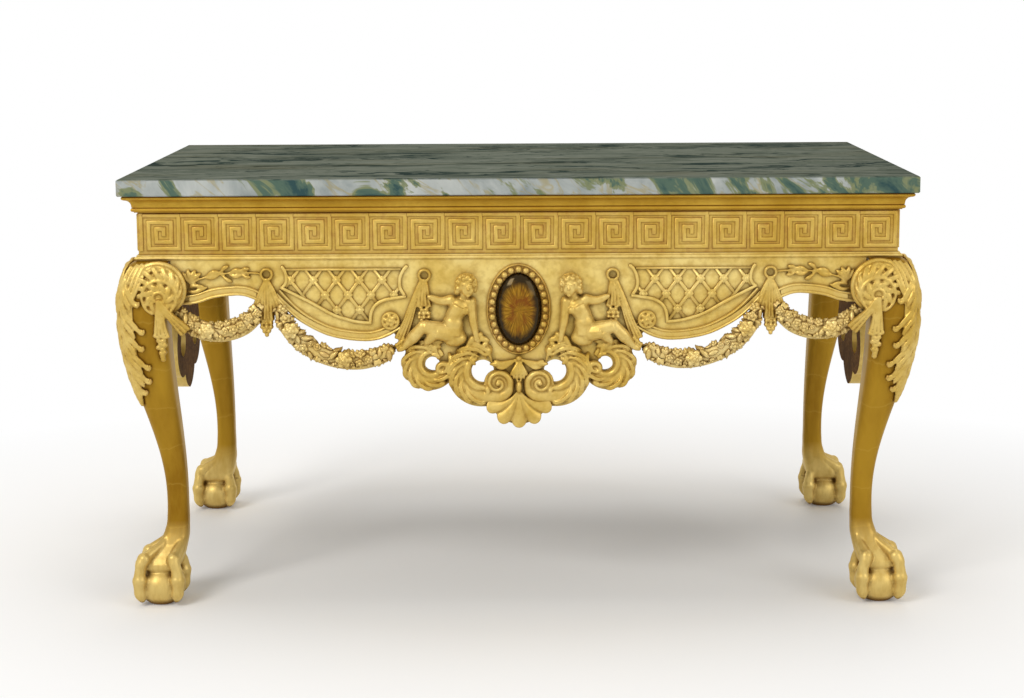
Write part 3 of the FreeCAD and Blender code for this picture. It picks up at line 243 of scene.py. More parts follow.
def streaked_marble(name):
    """Grey-green marble: long streaks on the top, pale cloud and green patches on the edge."""
    shader = Shader(name)

    def drawn(degrees, stretch):
        """Coordinates turned in the edge's plane, then stretched."""
        turned = shader.coordinates(turn=(0, math.radians(degrees), 0), place=(0.31, 0, 0))
        return shader.add("ShaderNodeVectorMath", {0: turned, 1: stretch}, operation="MULTIPLY").outputs[0]

    bend = shader.noise(shader.coordinates(scale=(1, 2.5, 2.5)), 2.6, 4, 0.6)
    long_grain = shader.coordinates(scale=(1.0, 11, 11))
    sway = shader.add("ShaderNodeCombineXYZ", {"Y": shader.math("MULTIPLY", bend, 4.0)}).outputs[0]
    shifted = shader.add("ShaderNodeVectorMath", {0: long_grain, 1: sway}, operation="ADD").outputs[0]
    band = shader.noise(shifted, 1.5, 6, 0.62, 0.3)
    thread = shader.noise(shifted, 3.4, 7, 0.66, 0.2)
    top = shader.ramp(band, [
        (0.25, linear(44, 56, 52)), (0.42, linear(82, 89, 79)), (0.52, linear(106, 111, 100)),
        (0.62, linear(88, 95, 84)), (0.8, linear(122, 127, 117))])
    top = shader.mix(shader.ramp(thread, [(0.40, 0.9), (0.47, 0.0)]), top, linear(34, 48, 46))
    top = shader.mix(shader.ramp(thread, [(0.56, 0.0), (0.7, 0.5)]), top, linear(128, 132, 122))
    rust = shader.noise(shader.coordinates(scale=(0.7, 4, 4)), 3.1, 4, 0.6)
    top = shader.mix(shader.ramp(rust, [(0.5, 0.0), (0.7, 0.45)]), top, linear(92, 88, 66))
    cloud = shader.noise(drawn(30, (1.0, 1.0, 0.7)), 11, 6, 0.6, 0.8)
    patch = shader.noise(drawn(42, (1.5, 1.0, 0.55)), 8.4, 5, 0.62, 0.9)
    vein = shader.noise(drawn(48, (1.7, 1.0, 0.5)), 10, 4, 0.55, 1.2)
    edge = shader.ramp(cloud, [
        (0.3, linear(128, 138, 138)), (0.5, linear(166, 172, 170)), (0.7, linear(194, 198, 194))])
    edge = shader.mix(shader.ramp(vein, [(0.47, 0.0), (0.5, 0.6), (0.53, 0.0)]), edge, linear(160, 146, 92))
    edge = shader.mix(shader.ramp(patch, [(0.49, 0.0), (0.515, 0.9)]), edge, linear(122, 130, 92))
    edge = shader.mix(shader.ramp(patch, [(0.53, 0.0), (0.56, 0.9)]), edge, linear(80, 104, 94))
    edge = shader.mix(shader.ramp(patch, [(0.58, 0.0), (0.65, 0.9)]), edge, linear(50, 76, 80))
    upward = shader.add("ShaderNodeSeparateXYZ", {
        "Vector": shader.add("ShaderNodeNewGeometry").outputs["True Normal"]}).outputs["Z"]
    colour = shader.mix(shader.ramp(upward, [(0.55, 0.0), (0.8, 1.0)]), edge, top)
    polish = shader.ramp(thread, [(0.3, 0.42), (0.7, 0.30)])
    return shader.finish(base_color=colour, roughness=polish, specular_ior_level=0.0)


OVAL_MIDDLE = APRON_TOP - 97
STONE_SEMI = (45, 71)


def tortoise_stone(name):
    """Polished oval stone: dark rim, amber heart, fine rays."""
    shader = Shader(name)
    rise = shader.coordinates(place=(0, 0, -OVAL_MIDDLE * MM))
    parts = shader.add("ShaderNodeSeparateXYZ", {"Vector": rise}).outputs
    across = shader.math("DIVIDE", parts["X"], STONE_SEMI[0] * MM)
    up = shader.math("DIVIDE", parts["Z"], STONE_SEMI[1] * MM)
    reach = shader.math("SQRT", shader.math("ADD", shader.math("MULTIPLY", across, across),
                                            shader.math("MULTIPLY", up, up)))
    angle = shader.math("ARCTAN2", up, across)
    rays = shader.noise(shader.add("ShaderNodeCombineXYZ", {
        "X": shader.math("MULTIPLY", angle, 6.0), "Y": reach}).outputs[0], 2.6, 4, 0.6)
    cloud = shader.noise(rise, 40, 5, 0.6, 0.8)
    heart = shader.ramp(rays, [
        (0.3, linear(66, 46, 2)), (0.5, linear(140, 98, 14)), (0.68, linear(182, 138, 40))])
    heart = shader.mix(shader.ramp(cloud, [(0.46, 0.0), (0.64, 0.8)]), heart, linear(112, 50, 6))
    uneven = shader.math("ADD", reach, shader.math("MULTIPLY", cloud, 0.4))
    rim = shader.ramp(uneven, [(0.76, 0.0), (1.08, 1.0)])
    colour = shader.mix(rim, heart, linear(26, 17, 8))
    return shader.finish(base_color=colour, roughness=0.14, specular_ior_level=0.3, specular_tint=AMBER_GLEAM,
                         coat_weight=0.15, coat_roughness=0.05, normal=shader.bump(cloud, 0.05, 0.0003))


# Each gold below darkens its hollows with painted shade, by its own weight and shade colour
gilt_carving = gilding("gilt_carving", GOLD_LIGHT, GOLD_MID, 0.35)
gilt_knee = gilding("gilt_knee", GOLD_LIGHT, GOLD_MID, 0.7, painted_shade=0.95)
gilt_flat = gilding("gilt_flat", linear(241, 217, 138), linear(222, 191, 102), 0.25, rough=0.40, painted_shade=0.75,
                    reach=0.011)
gilt_key = gilding("gilt_key", linear(222, 192, 104), linear(200, 164, 72), 0.35, rough=0.42,
                   shade=PAINTED_SHADE_RED)
# The cornice's gold is a darker, shaded copy, and its long reach paints the shadow under the marble's
# overhang
shaded_gilt_cornice = gilding("shaded_gilt_cornice", linear(206, 167, 60), linear(184, 143, 38), 0.35, rough=0.42,
                       shade=PAINTED_SHADE_RED, reach=0.05)
gilt_garland = gilding("gilt_garland", linear(246, 224, 156), linear(228, 198, 118), 0.35, painted_shade=0.7)
gilt_figure = gilding("gilt_figure", linear(232, 205, 128), linear(209, 176, 90), 0.35, painted_shade=0.75)
gilt_beads = gilding("gilt_beads", GOLD_LIGHT, GOLD_MID, 0.6, painted_shade=0.6, shade=PAINTED_SHADE_RED)
gilt_leg = gilding("gilt_leg", linear(170, 131, 34), linear(139, 99, 14), 0.45, streak=0.3, rough=0.36,
                   bright_foot=0.16, shine=0.35, lap=0.085)
bare_wood = raw_wood("bare_wood")
steel = screw_steel("screw_steel")
marble = streaked_marble("streaked_marble")
stone = tortoise_stone("tortoise_stone")

NODE_FINISH = {
    "marble_top": marble, "cabochon": stone, "cross_bearers": bare_wood, "glue_blocks": bare_wood,
    "bearer_screws": steel,
}


def dress_nodes():
    """Puts a finish on every CAD node that stays in view."""
    for name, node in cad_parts.items():
        finishes = (made for start, made in NODE_FINISH.items() if name.startswith(start))
        finish = next(finishes, gilt_carving)
        node.data.materials.clear()
        node.data.materials.append(finish)


# Shapes in side space

OUT = np.array((0.0, 1.0, 0.0))


def line_through(points, count):
    """A smooth line through a few points, as many points along it as asked."""
    known = np.asarray(points, float)
    known = np.vstack([2 * known[0] - known[1], known, 2 * known[-1] - known[-2]])
    runs = len(known) - 3
    place = np.linspace(0, runs, count)
    start = np.minimum(place.astype(int), runs - 1)
    t = (place - start)[:, None]
    a, b, c, d = (known[start + step] for step in range(4))
    return 0.5 * (2 * b + (c - a) * t + (2 * a - 5 * b + 4 * c - d) * t**2 + (3 * b - a - 3 * c + d) * t**3)


def on_face(points, lift=0.0):
    """Points given as (along, up), set off the face by a lift or by one lift for each point."""
    flat = np.asarray(points, float)
    return np.stack([flat[:, 0], np.broadcast_to(lift, len(flat)), flat[:, 1]], 1)


def spiral(middle, radii, degrees, count, ease=1.0):
    """A flat spiral round a middle, from the first to the last radius and angle."""
    share = np.linspace(0, 1, count)
    reach = radii[0] + (radii[1] - radii[0]) * share**ease
    angle = np.radians(degrees[0] + (degrees[1] - degrees[0]) * share)
    return np.stack([middle[0] + reach * np.cos(angle), middle[1] + reach * np.sin(angle)], 1)


def along_piece(count, *marks):
    """A size along a piece, from marks given as (share of its length, size)."""
    return np.interp(np.linspace(0, 1, count), *zip(*marks))


def spaced(count, sizes):
    """A size along a piece, from sizes at even steps."""
    return np.interp(np.linspace(0, 1, count), np.linspace(0, 1, len(sizes)), sizes)


def ring_quads(count, sides, closed=False):
    """Quads between rings of points, and back to the first ring where they close."""
    index = np.arange(count * sides).reshape(count, sides)
    here, after = (index, np.roll(index, -1, 0)) if closed else (index[:-1], index[1:])
    return np.stack([here, np.roll(here, -1, 1), np.roll(after, -1, 1), after], -1).reshape(-1, 4)


def loft(rings, closed=False):
    """Points and faces of a skin over rings of points, with flat ends where it doesn't close."""
    points = np.asarray(rings, float)
    count, sides, _ = points.shape
    faces = ring_quads(count, sides, closed).tolist()
    if not closed:
        last = (count - 1) * sides
        faces += [list(range(sides)), list(range(last, last + sides))[::-1]]
    return points.reshape(-1, 3), faces


def together(parts):
    """Several (points, faces) as one."""
    points, faces, size = [], [], 0
    for own_points, own_faces in parts:
        points.append(own_points)
        faces += [[corner + size for corner in face] for face in own_faces]
        size += len(own_points)
    return np.concatenate(points), faces


# Rods: how wide a groove is, and how far their tips stand out, as shares of their size
GROOVE_WIDE, TIP_REACH = 0.35, 0.6


class Clay:
    """Closed lumps in side space that are carved into one skin."""

    def __init__(self):
        self.points = []
        self.faces = []
        self.size = 0

    def skin(self, rows):
        """A grid of points, closed round each row."""
        count, sides, _ = rows.shape
        self.points.append(rows.reshape(-1, 3))
        self.faces.append(ring_quads(count, sides) + self.size)
        self.size += count * sides

    def rod(self, path, wide, high, out=OUT, sides=12, groove=0.0):
        """An oval rod along a path, with a groove along its crest."""
        path = np.asarray(path, float)
        wide = np.broadcast_to(wide, len(path)).astype(float)
        high = np.broadcast_to(high, len(path)).astype(float)
        along = np.gradient(path, axis=0)
        along /= np.linalg.norm(along, axis=1)[:, None]
        side = np.cross(along, np.broadcast_to(out, path.shape))
        side /= np.linalg.norm(side, axis=1)[:, None]
        top = np.cross(side, along)
        turn = np.linspace(0, 2 * np.pi, sides, endpoint=False)
        crest = 1 - groove * np.exp(-((np.cos(turn) / GROOVE_WIDE) ** 2)) * (np.sin(turn) > 0)
        across = np.cos(turn)[None, :, None] * side[:, None] * wide[:, None, None]
        rise = (np.sin(turn) * crest)[None, :, None] * top[:, None] * high[:, None, None]
        rows = path[:, None] + across + rise
        tip = np.minimum(wide, high) * TIP_REACH
        first = np.repeat((path[0] - along[0] * tip[0])[None, None], sides, 1)
        last = np.repeat((path[-1] + along[-1] * tip[-1])[None, None], sides, 1)
        self.skin(np.concatenate([first, rows, last]))

    def petal(self, points, wide, high, groove=0.3, count=9, sides=10, lift=(2.0, 2.0)):
        """A carved lobe: thin at its root, full past its middle, drawn to a rounded tip."""
        lifts = along_piece(count, (0, lift[0]), (0.65, lift[1] + 2), (1, lift[1]))
        shape = along_piece(count, (0, 0.45), (0.3, 0.8), (0.65, 1.0), (0.9, 0.75), (1, 0.4))
        path = on_face(line_through(points, count), lifts)
        self.rod(path, wide * shape, high * shape, sides=sides, groove=groove)

    def ball(self, middle, radii, lean=0.0, rows=9, sides=14):
        """A rounded lump, leaning in the face's plane by an angle in degrees."""
        wide, deep, tall = np.broadcast_to(np.asarray(radii, float), 3)
        polar = np.linspace(0, np.pi, rows + 1)[:, None]
        turn = np.linspace(0, 2 * np.pi, sides, endpoint=False)[None, :]
        across, up = wide * np.sin(polar) * np.cos(turn), tall * np.sin(polar) * np.sin(turn)
        out = deep * np.cos(polar) * np.ones_like(turn)
        c, s = math.cos(math.radians(lean)), math.sin(math.radians(lean))
        rows_of = np.stack([across * c - up * s, out, across * s + up * c], -1)
        self.skin(rows_of + np.asarray(middle, float))

    def ring(self, middle, radius, wide, high, lift):
        """A round band lying on the face."""
        self.rod(on_face(spiral(middle, (radius, radius), (0, 360), 41), lift), wide, high)


# Grain of a carved skin in millimetres, and how often it is smoothed
FOOT_CUT, KNEE_CUT, KNEE_CORNER_CUT = (2.2, 3), (1.8, 1), (1.7, 1)
FIGURE_CUT, LEAF_CUT, SHELL_CUT, END_CUT = (1.4, 4), (1.6, 1), (1.6, 2), (1.9, 1)


def carve(clay, cut):
    """One watertight skin over all the lumps: its points and faces."""
    voxel, soften = cut
    mesh = bpy.data.meshes.new("rough")
    mesh.from_pydata((np.concatenate(clay.points) * MM).tolist(), [], np.concatenate(clay.faces).tolist())
    rough = bpy.data.objects.new("rough", mesh)
    bpy.context.collection.objects.link(rough)
    skin = rough.modifiers.new("skin", "REMESH")
    skin.mode = "VOXEL"
    skin.voxel_size = voxel * MM
    smooth = rough.modifiers.new("soften", "SMOOTH")
    smooth.factor = 0.5
    smooth.iterations = soften
    made = plain_mesh(rough)
    bpy.data.objects.remove(rough)
    bpy.data.meshes.remove(mesh)
    return mesh_parts(made)


def plain_mesh(item):
    """The finished mesh of an object with its modifiers applied."""
    bpy.context.view_layer.update()
    return bpy.data.meshes.new_from_object(item.evaluated_get(bpy.context.evaluated_depsgraph_get()))


def mesh_parts(mesh):
    """Points in millimetres and faces of a made mesh, which is then removed."""
    points = np.empty(len(mesh.vertices) * 3)
    mesh.vertices.foreach_get("co", points)
    faces = [list(face.vertices) for face in mesh.polygons]
    bpy.data.meshes.remove(mesh)
    return points.reshape(-1, 3) / MM, faces


# Places

def on_side(points, side, hand=1):
    """From side space to the table's frame, in metres. Hand -1 mirrors along the side."""
    turn, face = SIDES[side]
    along, out = points[:, 0] * hand, -(points[:, 1] + face)
    c, s = round(math.cos(math.radians(turn))), round(math.sin(math.radians(turn)))
    return np.stack([along * c - out * s, along * s + out * c, points[:, 2]], 1) * MM


def at_corner(points, corner, turned=False):
    """From corner space (inwards from the corner, outwards, up) to the table's frame.

    Turned lays the points on the leg's other outer face.
    """
    x_sign, y_sign = CORNERS[corner]
    inward, out = (points[:, 1] * -1, points[:, 0] * -1) if turned else (points[:, 0], points[:, 1])
    return np.stack([x_sign * (HALF_X - inward), y_sign * (HALF_Y + out), points[:, 2]], 1) * MM


# In metres: points this near each other become one, and edges this short go
WELD, SLIVER, NODE_WELD = 0.00002, 0.000005, 0.00001


def make_piece(name, points, faces, finish, *nodes):
    """A mesh in the table's frame that rides on it and stands for its CAD nodes."""
    mesh = bpy.data.meshes.new(name)
    mesh.from_pydata(np.asarray(points).tolist(), [], [tuple(face) for face in faces])
    skin = bmesh.new()
    skin.from_mesh(mesh)
    bmesh.ops.remove_doubles(skin, verts=skin.verts, dist=WELD)
    bmesh.ops.dissolve_degenerate(skin, edges=skin.edges, dist=SLIVER)
    bmesh.ops.recalc_face_normals(skin, faces=skin.faces)
    skin.to_mesh(mesh)
    skin.free()
    return hand_in(name, mesh, finish, *nodes)


def hand_in(name, mesh, finish, *nodes, smooth=True):
    """Names, finishes and fastens a ready mesh."""
    mesh.name = name
    mesh.materials.clear()
    mesh.materials.append(finish)
    mesh.polygons.foreach_set("use_smooth", np.full(len(mesh.polygons), smooth))
    piece = bpy.data.objects.new(name, mesh)
    bpy.context.collection.objects.link(piece)
    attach(piece, "root")
    if nodes:
        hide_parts(*nodes)
    return piece


# Mouldings and strips

def strip(path, section, closed=False):
    """A moulding along a flat path of (along, up), mitred at its corners.

    Its section is (to the left of the path, outwards).
    """
    path = np.asarray(path, float)
    step = np.diff(np.vstack([path, path[:1]]) if closed else path, axis=0)
    step /= np.linalg.norm(step, axis=1)[:, None]
    left = np.stack([-step[:, 1], step[:, 0]], 1)
    before = np.roll(left, 1, 0) if closed else np.vstack([left[:1], left])
    after = left if closed else np.vstack([left, left[-1:]])
    mitre = (before + after) / (1 + np.sum(before * after, 1))[:, None]
    section = np.asarray(section, float)
    points = np.empty((len(path), len(section), 3))
    points[:, :, 0] = path[:, None, 0] + mitre[:, None, 0] * section[None, :, 0]
    points[:, :, 1] = section[None, :, 1]
    points[:, :, 2] = path[:, None, 1] + mitre[:, None, 1] * section[None, :, 0]
    return loft(points, closed)


def soft_bar(wide, high, ease=0.28):
    """Section of a bar with eased edges, standing on the face."""
    half, cut = wide / 2, min(wide, high) * ease
    rise = [(-half, -1), (-half, high - cut), (-half + cut * 0.4, high - cut * 0.3), (-half + cut, high)]
    return rise + [(-across, out) for across, out in reversed(rise)]


ARC_POINTS, RUN_POINTS = 7, 25


def arc(middle, radii, degrees):
    angle = np.radians(np.linspace(*degrees, ARC_POINTS))
    return [(middle[0] + radii[0] * math.cos(a), middle[1] + radii[1] * math.sin(a)) for a in angle]


# Sections of the box frame, given as (outwards, up)
FRIEZE_THICK = 22
KEY_RELIEF = 3
CORNICE_SECTION = [
    (-FRIEZE_THICK, SLAB_LOW), *arc((18, SLAB_LOW - 4), (5, 4), (90, -70)), (17.5, SLAB_LOW - 8.5),
    *arc((18, FRIEZE_HIGH + 12), (11.5, 13.5), (98, 180)), (6.5, FRIEZE_HIGH + 10.5),
    (4.5, FRIEZE_HIGH + 10.5), *arc((4, FRIEZE_HIGH + 6.2), (4, 4), (80, -80)), (2.6, FRIEZE_HIGH + 2),
    (2.6, FRIEZE_HIGH + 0.4), (-FRIEZE_THICK, FRIEZE_HIGH + 0.4),
]
BASE_SECTION = [
    (-FRIEZE_THICK, FRIEZE_LOW - 0.2), (0.6, FRIEZE_LOW - 0.2), (0.8, FRIEZE_LOW - 2.6),
    *arc((1.4, FRIEZE_LOW - 6.2), (3.1, 3.2), (85, -85)), (1.2, FRIEZE_LOW - 9.8), (1.2, APRON_TOP + 0.2),
    (-FRIEZE_THICK, APRON_TOP + 0.2),
]
GROUND_SECTION = [
    (-FRIEZE_THICK, FRIEZE_HIGH), (-KEY_RELIEF, FRIEZE_HIGH), (-KEY_RELIEF, FRIEZE_LOW),
    (-FRIEZE_THICK, FRIEZE_LOW),
]


def mitred_run(section, half):
    """A straight run of a section given as (outwards, up), mitred at both ends of a side."""
    shares = np.linspace(-1, 1, RUN_POINTS)
    return loft([[(share * (half + out), out, up) for out, up in section] for share in shares])


FACING_IN = 0.6


def show_back(piece, side):
    """Bare wood on the faces that look into the table."""
    turn, _ = SIDES[side]
    inward = Vector((0, 1, 0)) @ Matrix.Rotation(math.radians(-turn), 3, "Z")
    piece.data.materials.append(bare_wood)
    for face in piece.data.polygons:
        if face.normal.dot(inward) > FACING_IN:
            face.material_index = 1


def crease(piece, degrees=38):
    piece.data.set_sharp_from_angle(angle=math.radians(degrees))


# Geometry Nodes for what repeats

class Recipe:
    """A Geometry Nodes tree made by short calls, with named inputs."""

    def __init__(self, name, **inputs):
        self.tree = bpy.data.node_groups.new(name, "GeometryNodeTree")
        self.tree.interface.new_socket("Geometry", in_out="INPUT", socket_type="NodeSocketGeometry")
        for label, kind in dict(inputs, Material="Material").items():
            self.tree.interface.new_socket(label, in_out="INPUT", socket_type=f"NodeSocket{kind}")
        self.tree.interface.new_socket("Geometry", in_out="OUTPUT", socket_type="NodeSocketGeometry")
        self.given = self.tree.nodes.new("NodeGroupInput").outputs

    def add(self, kind, inputs=None, **settings):
        node = self.tree.nodes.new(kind)
        for key, value in settings.items():
            setattr(node, key, value)
        for key, value in (inputs or {}).items():
            for single in value if isinstance(value, list) else [value]:
                if isinstance(single, bpy.types.NodeSocket):
                    self.tree.links.new(single, node.inputs[key])
                else:
                    node.inputs[key].default_value = single
        return node.outputs

    def shape_of(self, label):
        """The geometry of an object given by name."""
        found = self.add("GeometryNodeObjectInfo", {"Object": self.given[label], "As Instance": True})
        return found["Geometry"]

    def end(self, geometry):
        real = self.add("GeometryNodeRealizeInstances", {"Geometry": geometry})[0]
        done = self.add("GeometryNodeSetMaterial", {"Geometry": real, "Material": self.given["Material"]})[0]
        self.add("NodeGroupOutput", {"Geometry": done})
        return self

    def make(self, data, finish, **values):
        """Runs the tree on a mesh or curve and gives the plain mesh that it makes."""
        item = bpy.data.objects.new("base", data)
        bpy.context.collection.objects.link(item)
        step = item.modifiers.new("recipe", "NODES")
        step.node_group = self.tree
        for socket in self.tree.interface.items_tree:
            if socket.in_out == "INPUT" and socket.name != "Geometry":
                step[socket.identifier] = finish if socket.name == "Material" else values[socket.name]
        made = plain_mesh(item)
        item.modifiers.clear()
        bpy.data.objects.remove(item)
        return made


def stamp(name, points, faces):
    """A small mesh, in millimetres, that a recipe repeats."""
    mesh = bpy.data.meshes.new(name)
    mesh.from_pydata((np.asarray(points) * MM).tolist(), [], [tuple(face) for face in faces])
    mesh.polygons.foreach_set("use_smooth", np.ones(len(mesh.polygons), bool))
    item = bpy.data.objects.new(name, mesh)
    bpy.context.collection.objects.link(item)
    return item


def put_away(*items):
    for item in items:
        bpy.data.objects.remove(item)


def mesh_of(points, faces=()):
    mesh = bpy.data.meshes.new("base")
    mesh.from_pydata((np.asarray(points, float) * MM).tolist(), [], list(faces))
    return mesh


def repeat_recipe():
    """One shape on every point of a mesh."""
    recipe = Recipe("repeat_on_points", Shape="Object")
    placed = recipe.add("GeometryNodeInstanceOnPoints", {
        "Points": recipe.given["Geometry"], "Instance": recipe.shape_of("Shape")})[0]
    return recipe.end(placed)


# Garland: flowers to a square metre at most, their sizes, how often each kind comes, and a turn
FLOWER_DENSITY, FLOWER_SIZES, FULL_TURN = 60000.0, (0.82, 1.2), 6.28
FLOWER_KINDS = ("Leaf", "Bud", "Flower", "Flower", "Flower")


def garland_recipe():
    """Flowers and leaves spread over a swag, turned and sized at random from a fixed seed."""
    recipe = Recipe("garland", Flower="Object", Bud="Object", Leaf="Object", Spacing="Float", Seed="Int")
    spread = recipe.add("GeometryNodeDistributePointsOnFaces", {
        "Mesh": recipe.given["Geometry"], "Distance Min": recipe.given["Spacing"],
        "Density Max": FLOWER_DENSITY, "Seed": recipe.given["Seed"]}, distribute_method="POISSON")
    kinds = recipe.add("GeometryNodeJoinGeometry", {
        "Geometry": [recipe.shape_of(kind) for kind in FLOWER_KINDS]})[0]

    def chance(kind, low, high, shift):
        seed = recipe.add("ShaderNodeMath", {0: recipe.given["Seed"], 1: shift})[0]
        node = recipe.tree.nodes.new("FunctionNodeRandomValue")
        node.data_type = kind
        sockets = [socket for socket in node.inputs if socket.enabled]
        sockets[0].default_value, sockets[1].default_value = low, high
        recipe.tree.links.new(seed, node.inputs["Seed"])
        return next(socket for socket in node.outputs if socket.enabled)

    placed = recipe.add("GeometryNodeInstanceOnPoints", {
        "Points": spread["Points"], "Instance": kinds, "Pick Instance": True,
        "Instance Index": chance("INT", 0, len(FLOWER_KINDS) - 1, 1.0), "Rotation": spread["Rotation"],
        "Scale": chance("FLOAT", *FLOWER_SIZES, 2.0)})[0]
    twist = recipe.add("ShaderNodeCombineXYZ", {"Z": chance("FLOAT", 0.0, FULL_TURN, 3.0)})[0]
    turned = recipe.add("GeometryNodeRotateInstances", {"Instances": placed, "Rotation": twist})[0]
    swag = recipe.add("GeometryNodeJoinGeometry", {"Geometry": [recipe.given["Geometry"], turned]})[0]
    return recipe.end(swag)


# Frieze with its key pattern

KEYS = {"front": 20, "back": 20, "left": 10, "right": 10}
KEY_BAND = 8.8
KEY_EASE = 0.85
KEY_LAP = 0.75
KEY_HIGH = 64
KEY_MARGIN = 6
KEY_GRID = 5
KEY_PATH = [(5, 5), (5, 0), (1, 0), (1, 4), (4, 4), (4, 1), (2, 1), (2, 3), (3, 3), (3, 1.9)]


def make_box_frame():
    """Cornice, key frieze and base moulding on each side."""
    bar = soft_bar(KEY_BAND, KEY_RELIEF, KEY_EASE)
    for side in SIDES:
        half = HALF_X if side in LONG_SIDES else HALF_Y
        for kind, section in (("cornice", CORNICE_SECTION), ("base_moulding", BASE_SECTION)):
            points, faces = mitred_run(section, half)
            finish = shaded_gilt_cornice if kind == "cornice" else gilt_flat
            piece = make_piece(f"gilt_{kind}_{side}", on_side(points, side), faces, finish, f"{kind}_{side}")
            crease(piece)
            show_back(piece, side)
        end = half - KEY_BAND
        pitch = 2 * end / KEYS[side]
        cell, rise = pitch / KEY_GRID, KEY_HIGH / KEY_GRID
        low = FRIEZE_HIGH - KEY_MARGIN - KEY_HIGH
        foot = low - KEY_BAND / 2
        turns = [(cell * column, low + rise * row) for column, row in KEY_PATH]
        key = stamp("key", *strip([(KEY_BAND / 2 - KEY_LAP, low + KEY_HIGH), *turns], bar))
        starts = [(-end + pitch * number, -KEY_RELIEF, 0) for number in range(KEYS[side])]
        keys = mesh_parts(REPEAT.make(mesh_of(starts), gilt_key, Shape=key))
        put_away(key)
        closing = strip([(-end, foot), (-end, foot + KEY_HIGH + KEY_BAND)], bar)
        closing[0][:, 1] -= KEY_RELIEF
        points, faces = together([mitred_run(GROUND_SECTION, half), keys, closing])
        piece = make_piece(f"key_frieze_{side}", on_side(points, side), faces, gilt_key, f"frieze_{side}")
        crease(piece)
        show_back(piece, side)


# Legs

LEG_SHOULDER, LEG_BLOCK = 4, 68
KNEE_LEVEL, KNEE_REACH, KNEE_WIDE = 585, 34, 90
ANKLE_LEVEL, ANKLE_REACH, ANKLE_WIDE = 200, -35, 40
ANKLE_JOIN = 168
HEEL_SPLAY, HEEL_FLARE = 26, 32
POST_WIDE, POST_LAP, POST_GAP, POST_EASE = 60, 2, 0.2, 0.06
FOOT_LEVEL, FOOT_TOP = 92, 128
FOOT_MIDDLE = np.array((24.0, -24.0))
BALL_RADIUS, BALL_LEVEL, BALL_RISE = 46, 34, 41
FOOT_COLLAR = [(160, -1), (150, 0), (136, 0.8), (125, 1)]
FOOT_WEB = [
    # level, middle's place on the diagonal, half width, roundness
    (114, 46, 27, 0.34), (102, 40, 30.5, 0.28), (90, 34, 33.5, 0.23), (80, 29.5, 35, 0.2),
    (72, 27, 33.5, 0.2), (64, 25.5, 28, 0.25),
]
# Toes: a tendon's ends and how far from there each toe's own runs out, then the toe as (reach, level),
# its size along its length, and its knuckles as (reach, level, radius)
TENDON_START, TENDON_START_REACH = np.array((55.0, -55.0, 152)), 9
TENDON_END, TENDON_END_REACH = np.array((46.0, -46.0, 119)), 25
TOE_LINE = [(42, 92), (50, 72), (53, 50), (52, 28), (46, 9)]
TOE_SIZE = [(0, 5), (0.2, 8.5), (0.36, 12.5), (0.46, 11), (0.56, 11.5), (0.68, 13.5), (0.76, 11.5),
            (0.86, 12.5), (0.94, 9), (1, 5)]
TOE_KNUCKLES = [(41, 93, 14), (52, 52, 15), (51, 26, 12.5)]


def leg_law(level):
    """Outer side beyond the frieze face, width and corner roundness of the leg at a height."""
    if level > KNEE_LEVEL:
        share = (level - KNEE_LEVEL) / (APRON_TOP - KNEE_LEVEL)
        outer = LEG_SHOULDER + (KNEE_REACH - LEG_SHOULDER) * math.sqrt(max(0.0, 1 - share * share))
        return outer, LEG_BLOCK + (KNEE_WIDE - LEG_BLOCK) * (1 - share), 0.2 + 0.1 * (1 - share)
    if level > ANKLE_LEVEL:
        share = (level - ANKLE_LEVEL) / (KNEE_LEVEL - ANKLE_LEVEL)
        blend = (1 - math.cos(math.pi * share)) / 2
        return (ANKLE_REACH + (KNEE_REACH - ANKLE_REACH) * blend,
                ANKLE_WIDE + (KNEE_WIDE - ANKLE_WIDE) * blend, 0.3)
    share = (ANKLE_LEVEL - level) / (ANKLE_LEVEL - FOOT_LEVEL)
    return ANKLE_REACH + HEEL_SPLAY * share**2.6, ANKLE_WIDE + HEEL_FLARE * share**2.4, 0.3 + 0.1 * share


def ankle_law(level):
    """The leg's law, run over into the paw's web below the ankle."""
    if level > ANKLE_JOIN:
        return leg_law(level)
    web_level, place, half, roundness = FOOT_WEB[0]
    share = ((ANKLE_JOIN - level) / (ANKLE_JOIN - web_level)) ** 2
    web = np.array((half - place, 2 * half, roundness))
    return tuple(np.array(leg_law(ANKLE_JOIN)) * (1 - share) + web * share)


def leg_ring(level, outer, wide, roundness, sides=9):
    """A square with rounded corners, in corner space."""
    radius = wide * roundness
    ring = []
    for turn, (right, far) in enumerate(((0, 0), (1, 0), (1, 1), (0, 1))):
        middle = (-outer + radius + right * (wide - 2 * radius), outer - radius - far * (wide - 2 * radius))
        for angle in np.radians(np.linspace(180 - 90 * turn, 90 - 90 * turn, sides)):
            ring.append((middle[0] + radius * math.cos(angle), middle[1] + radius * math.sin(angle), level))
    return ring


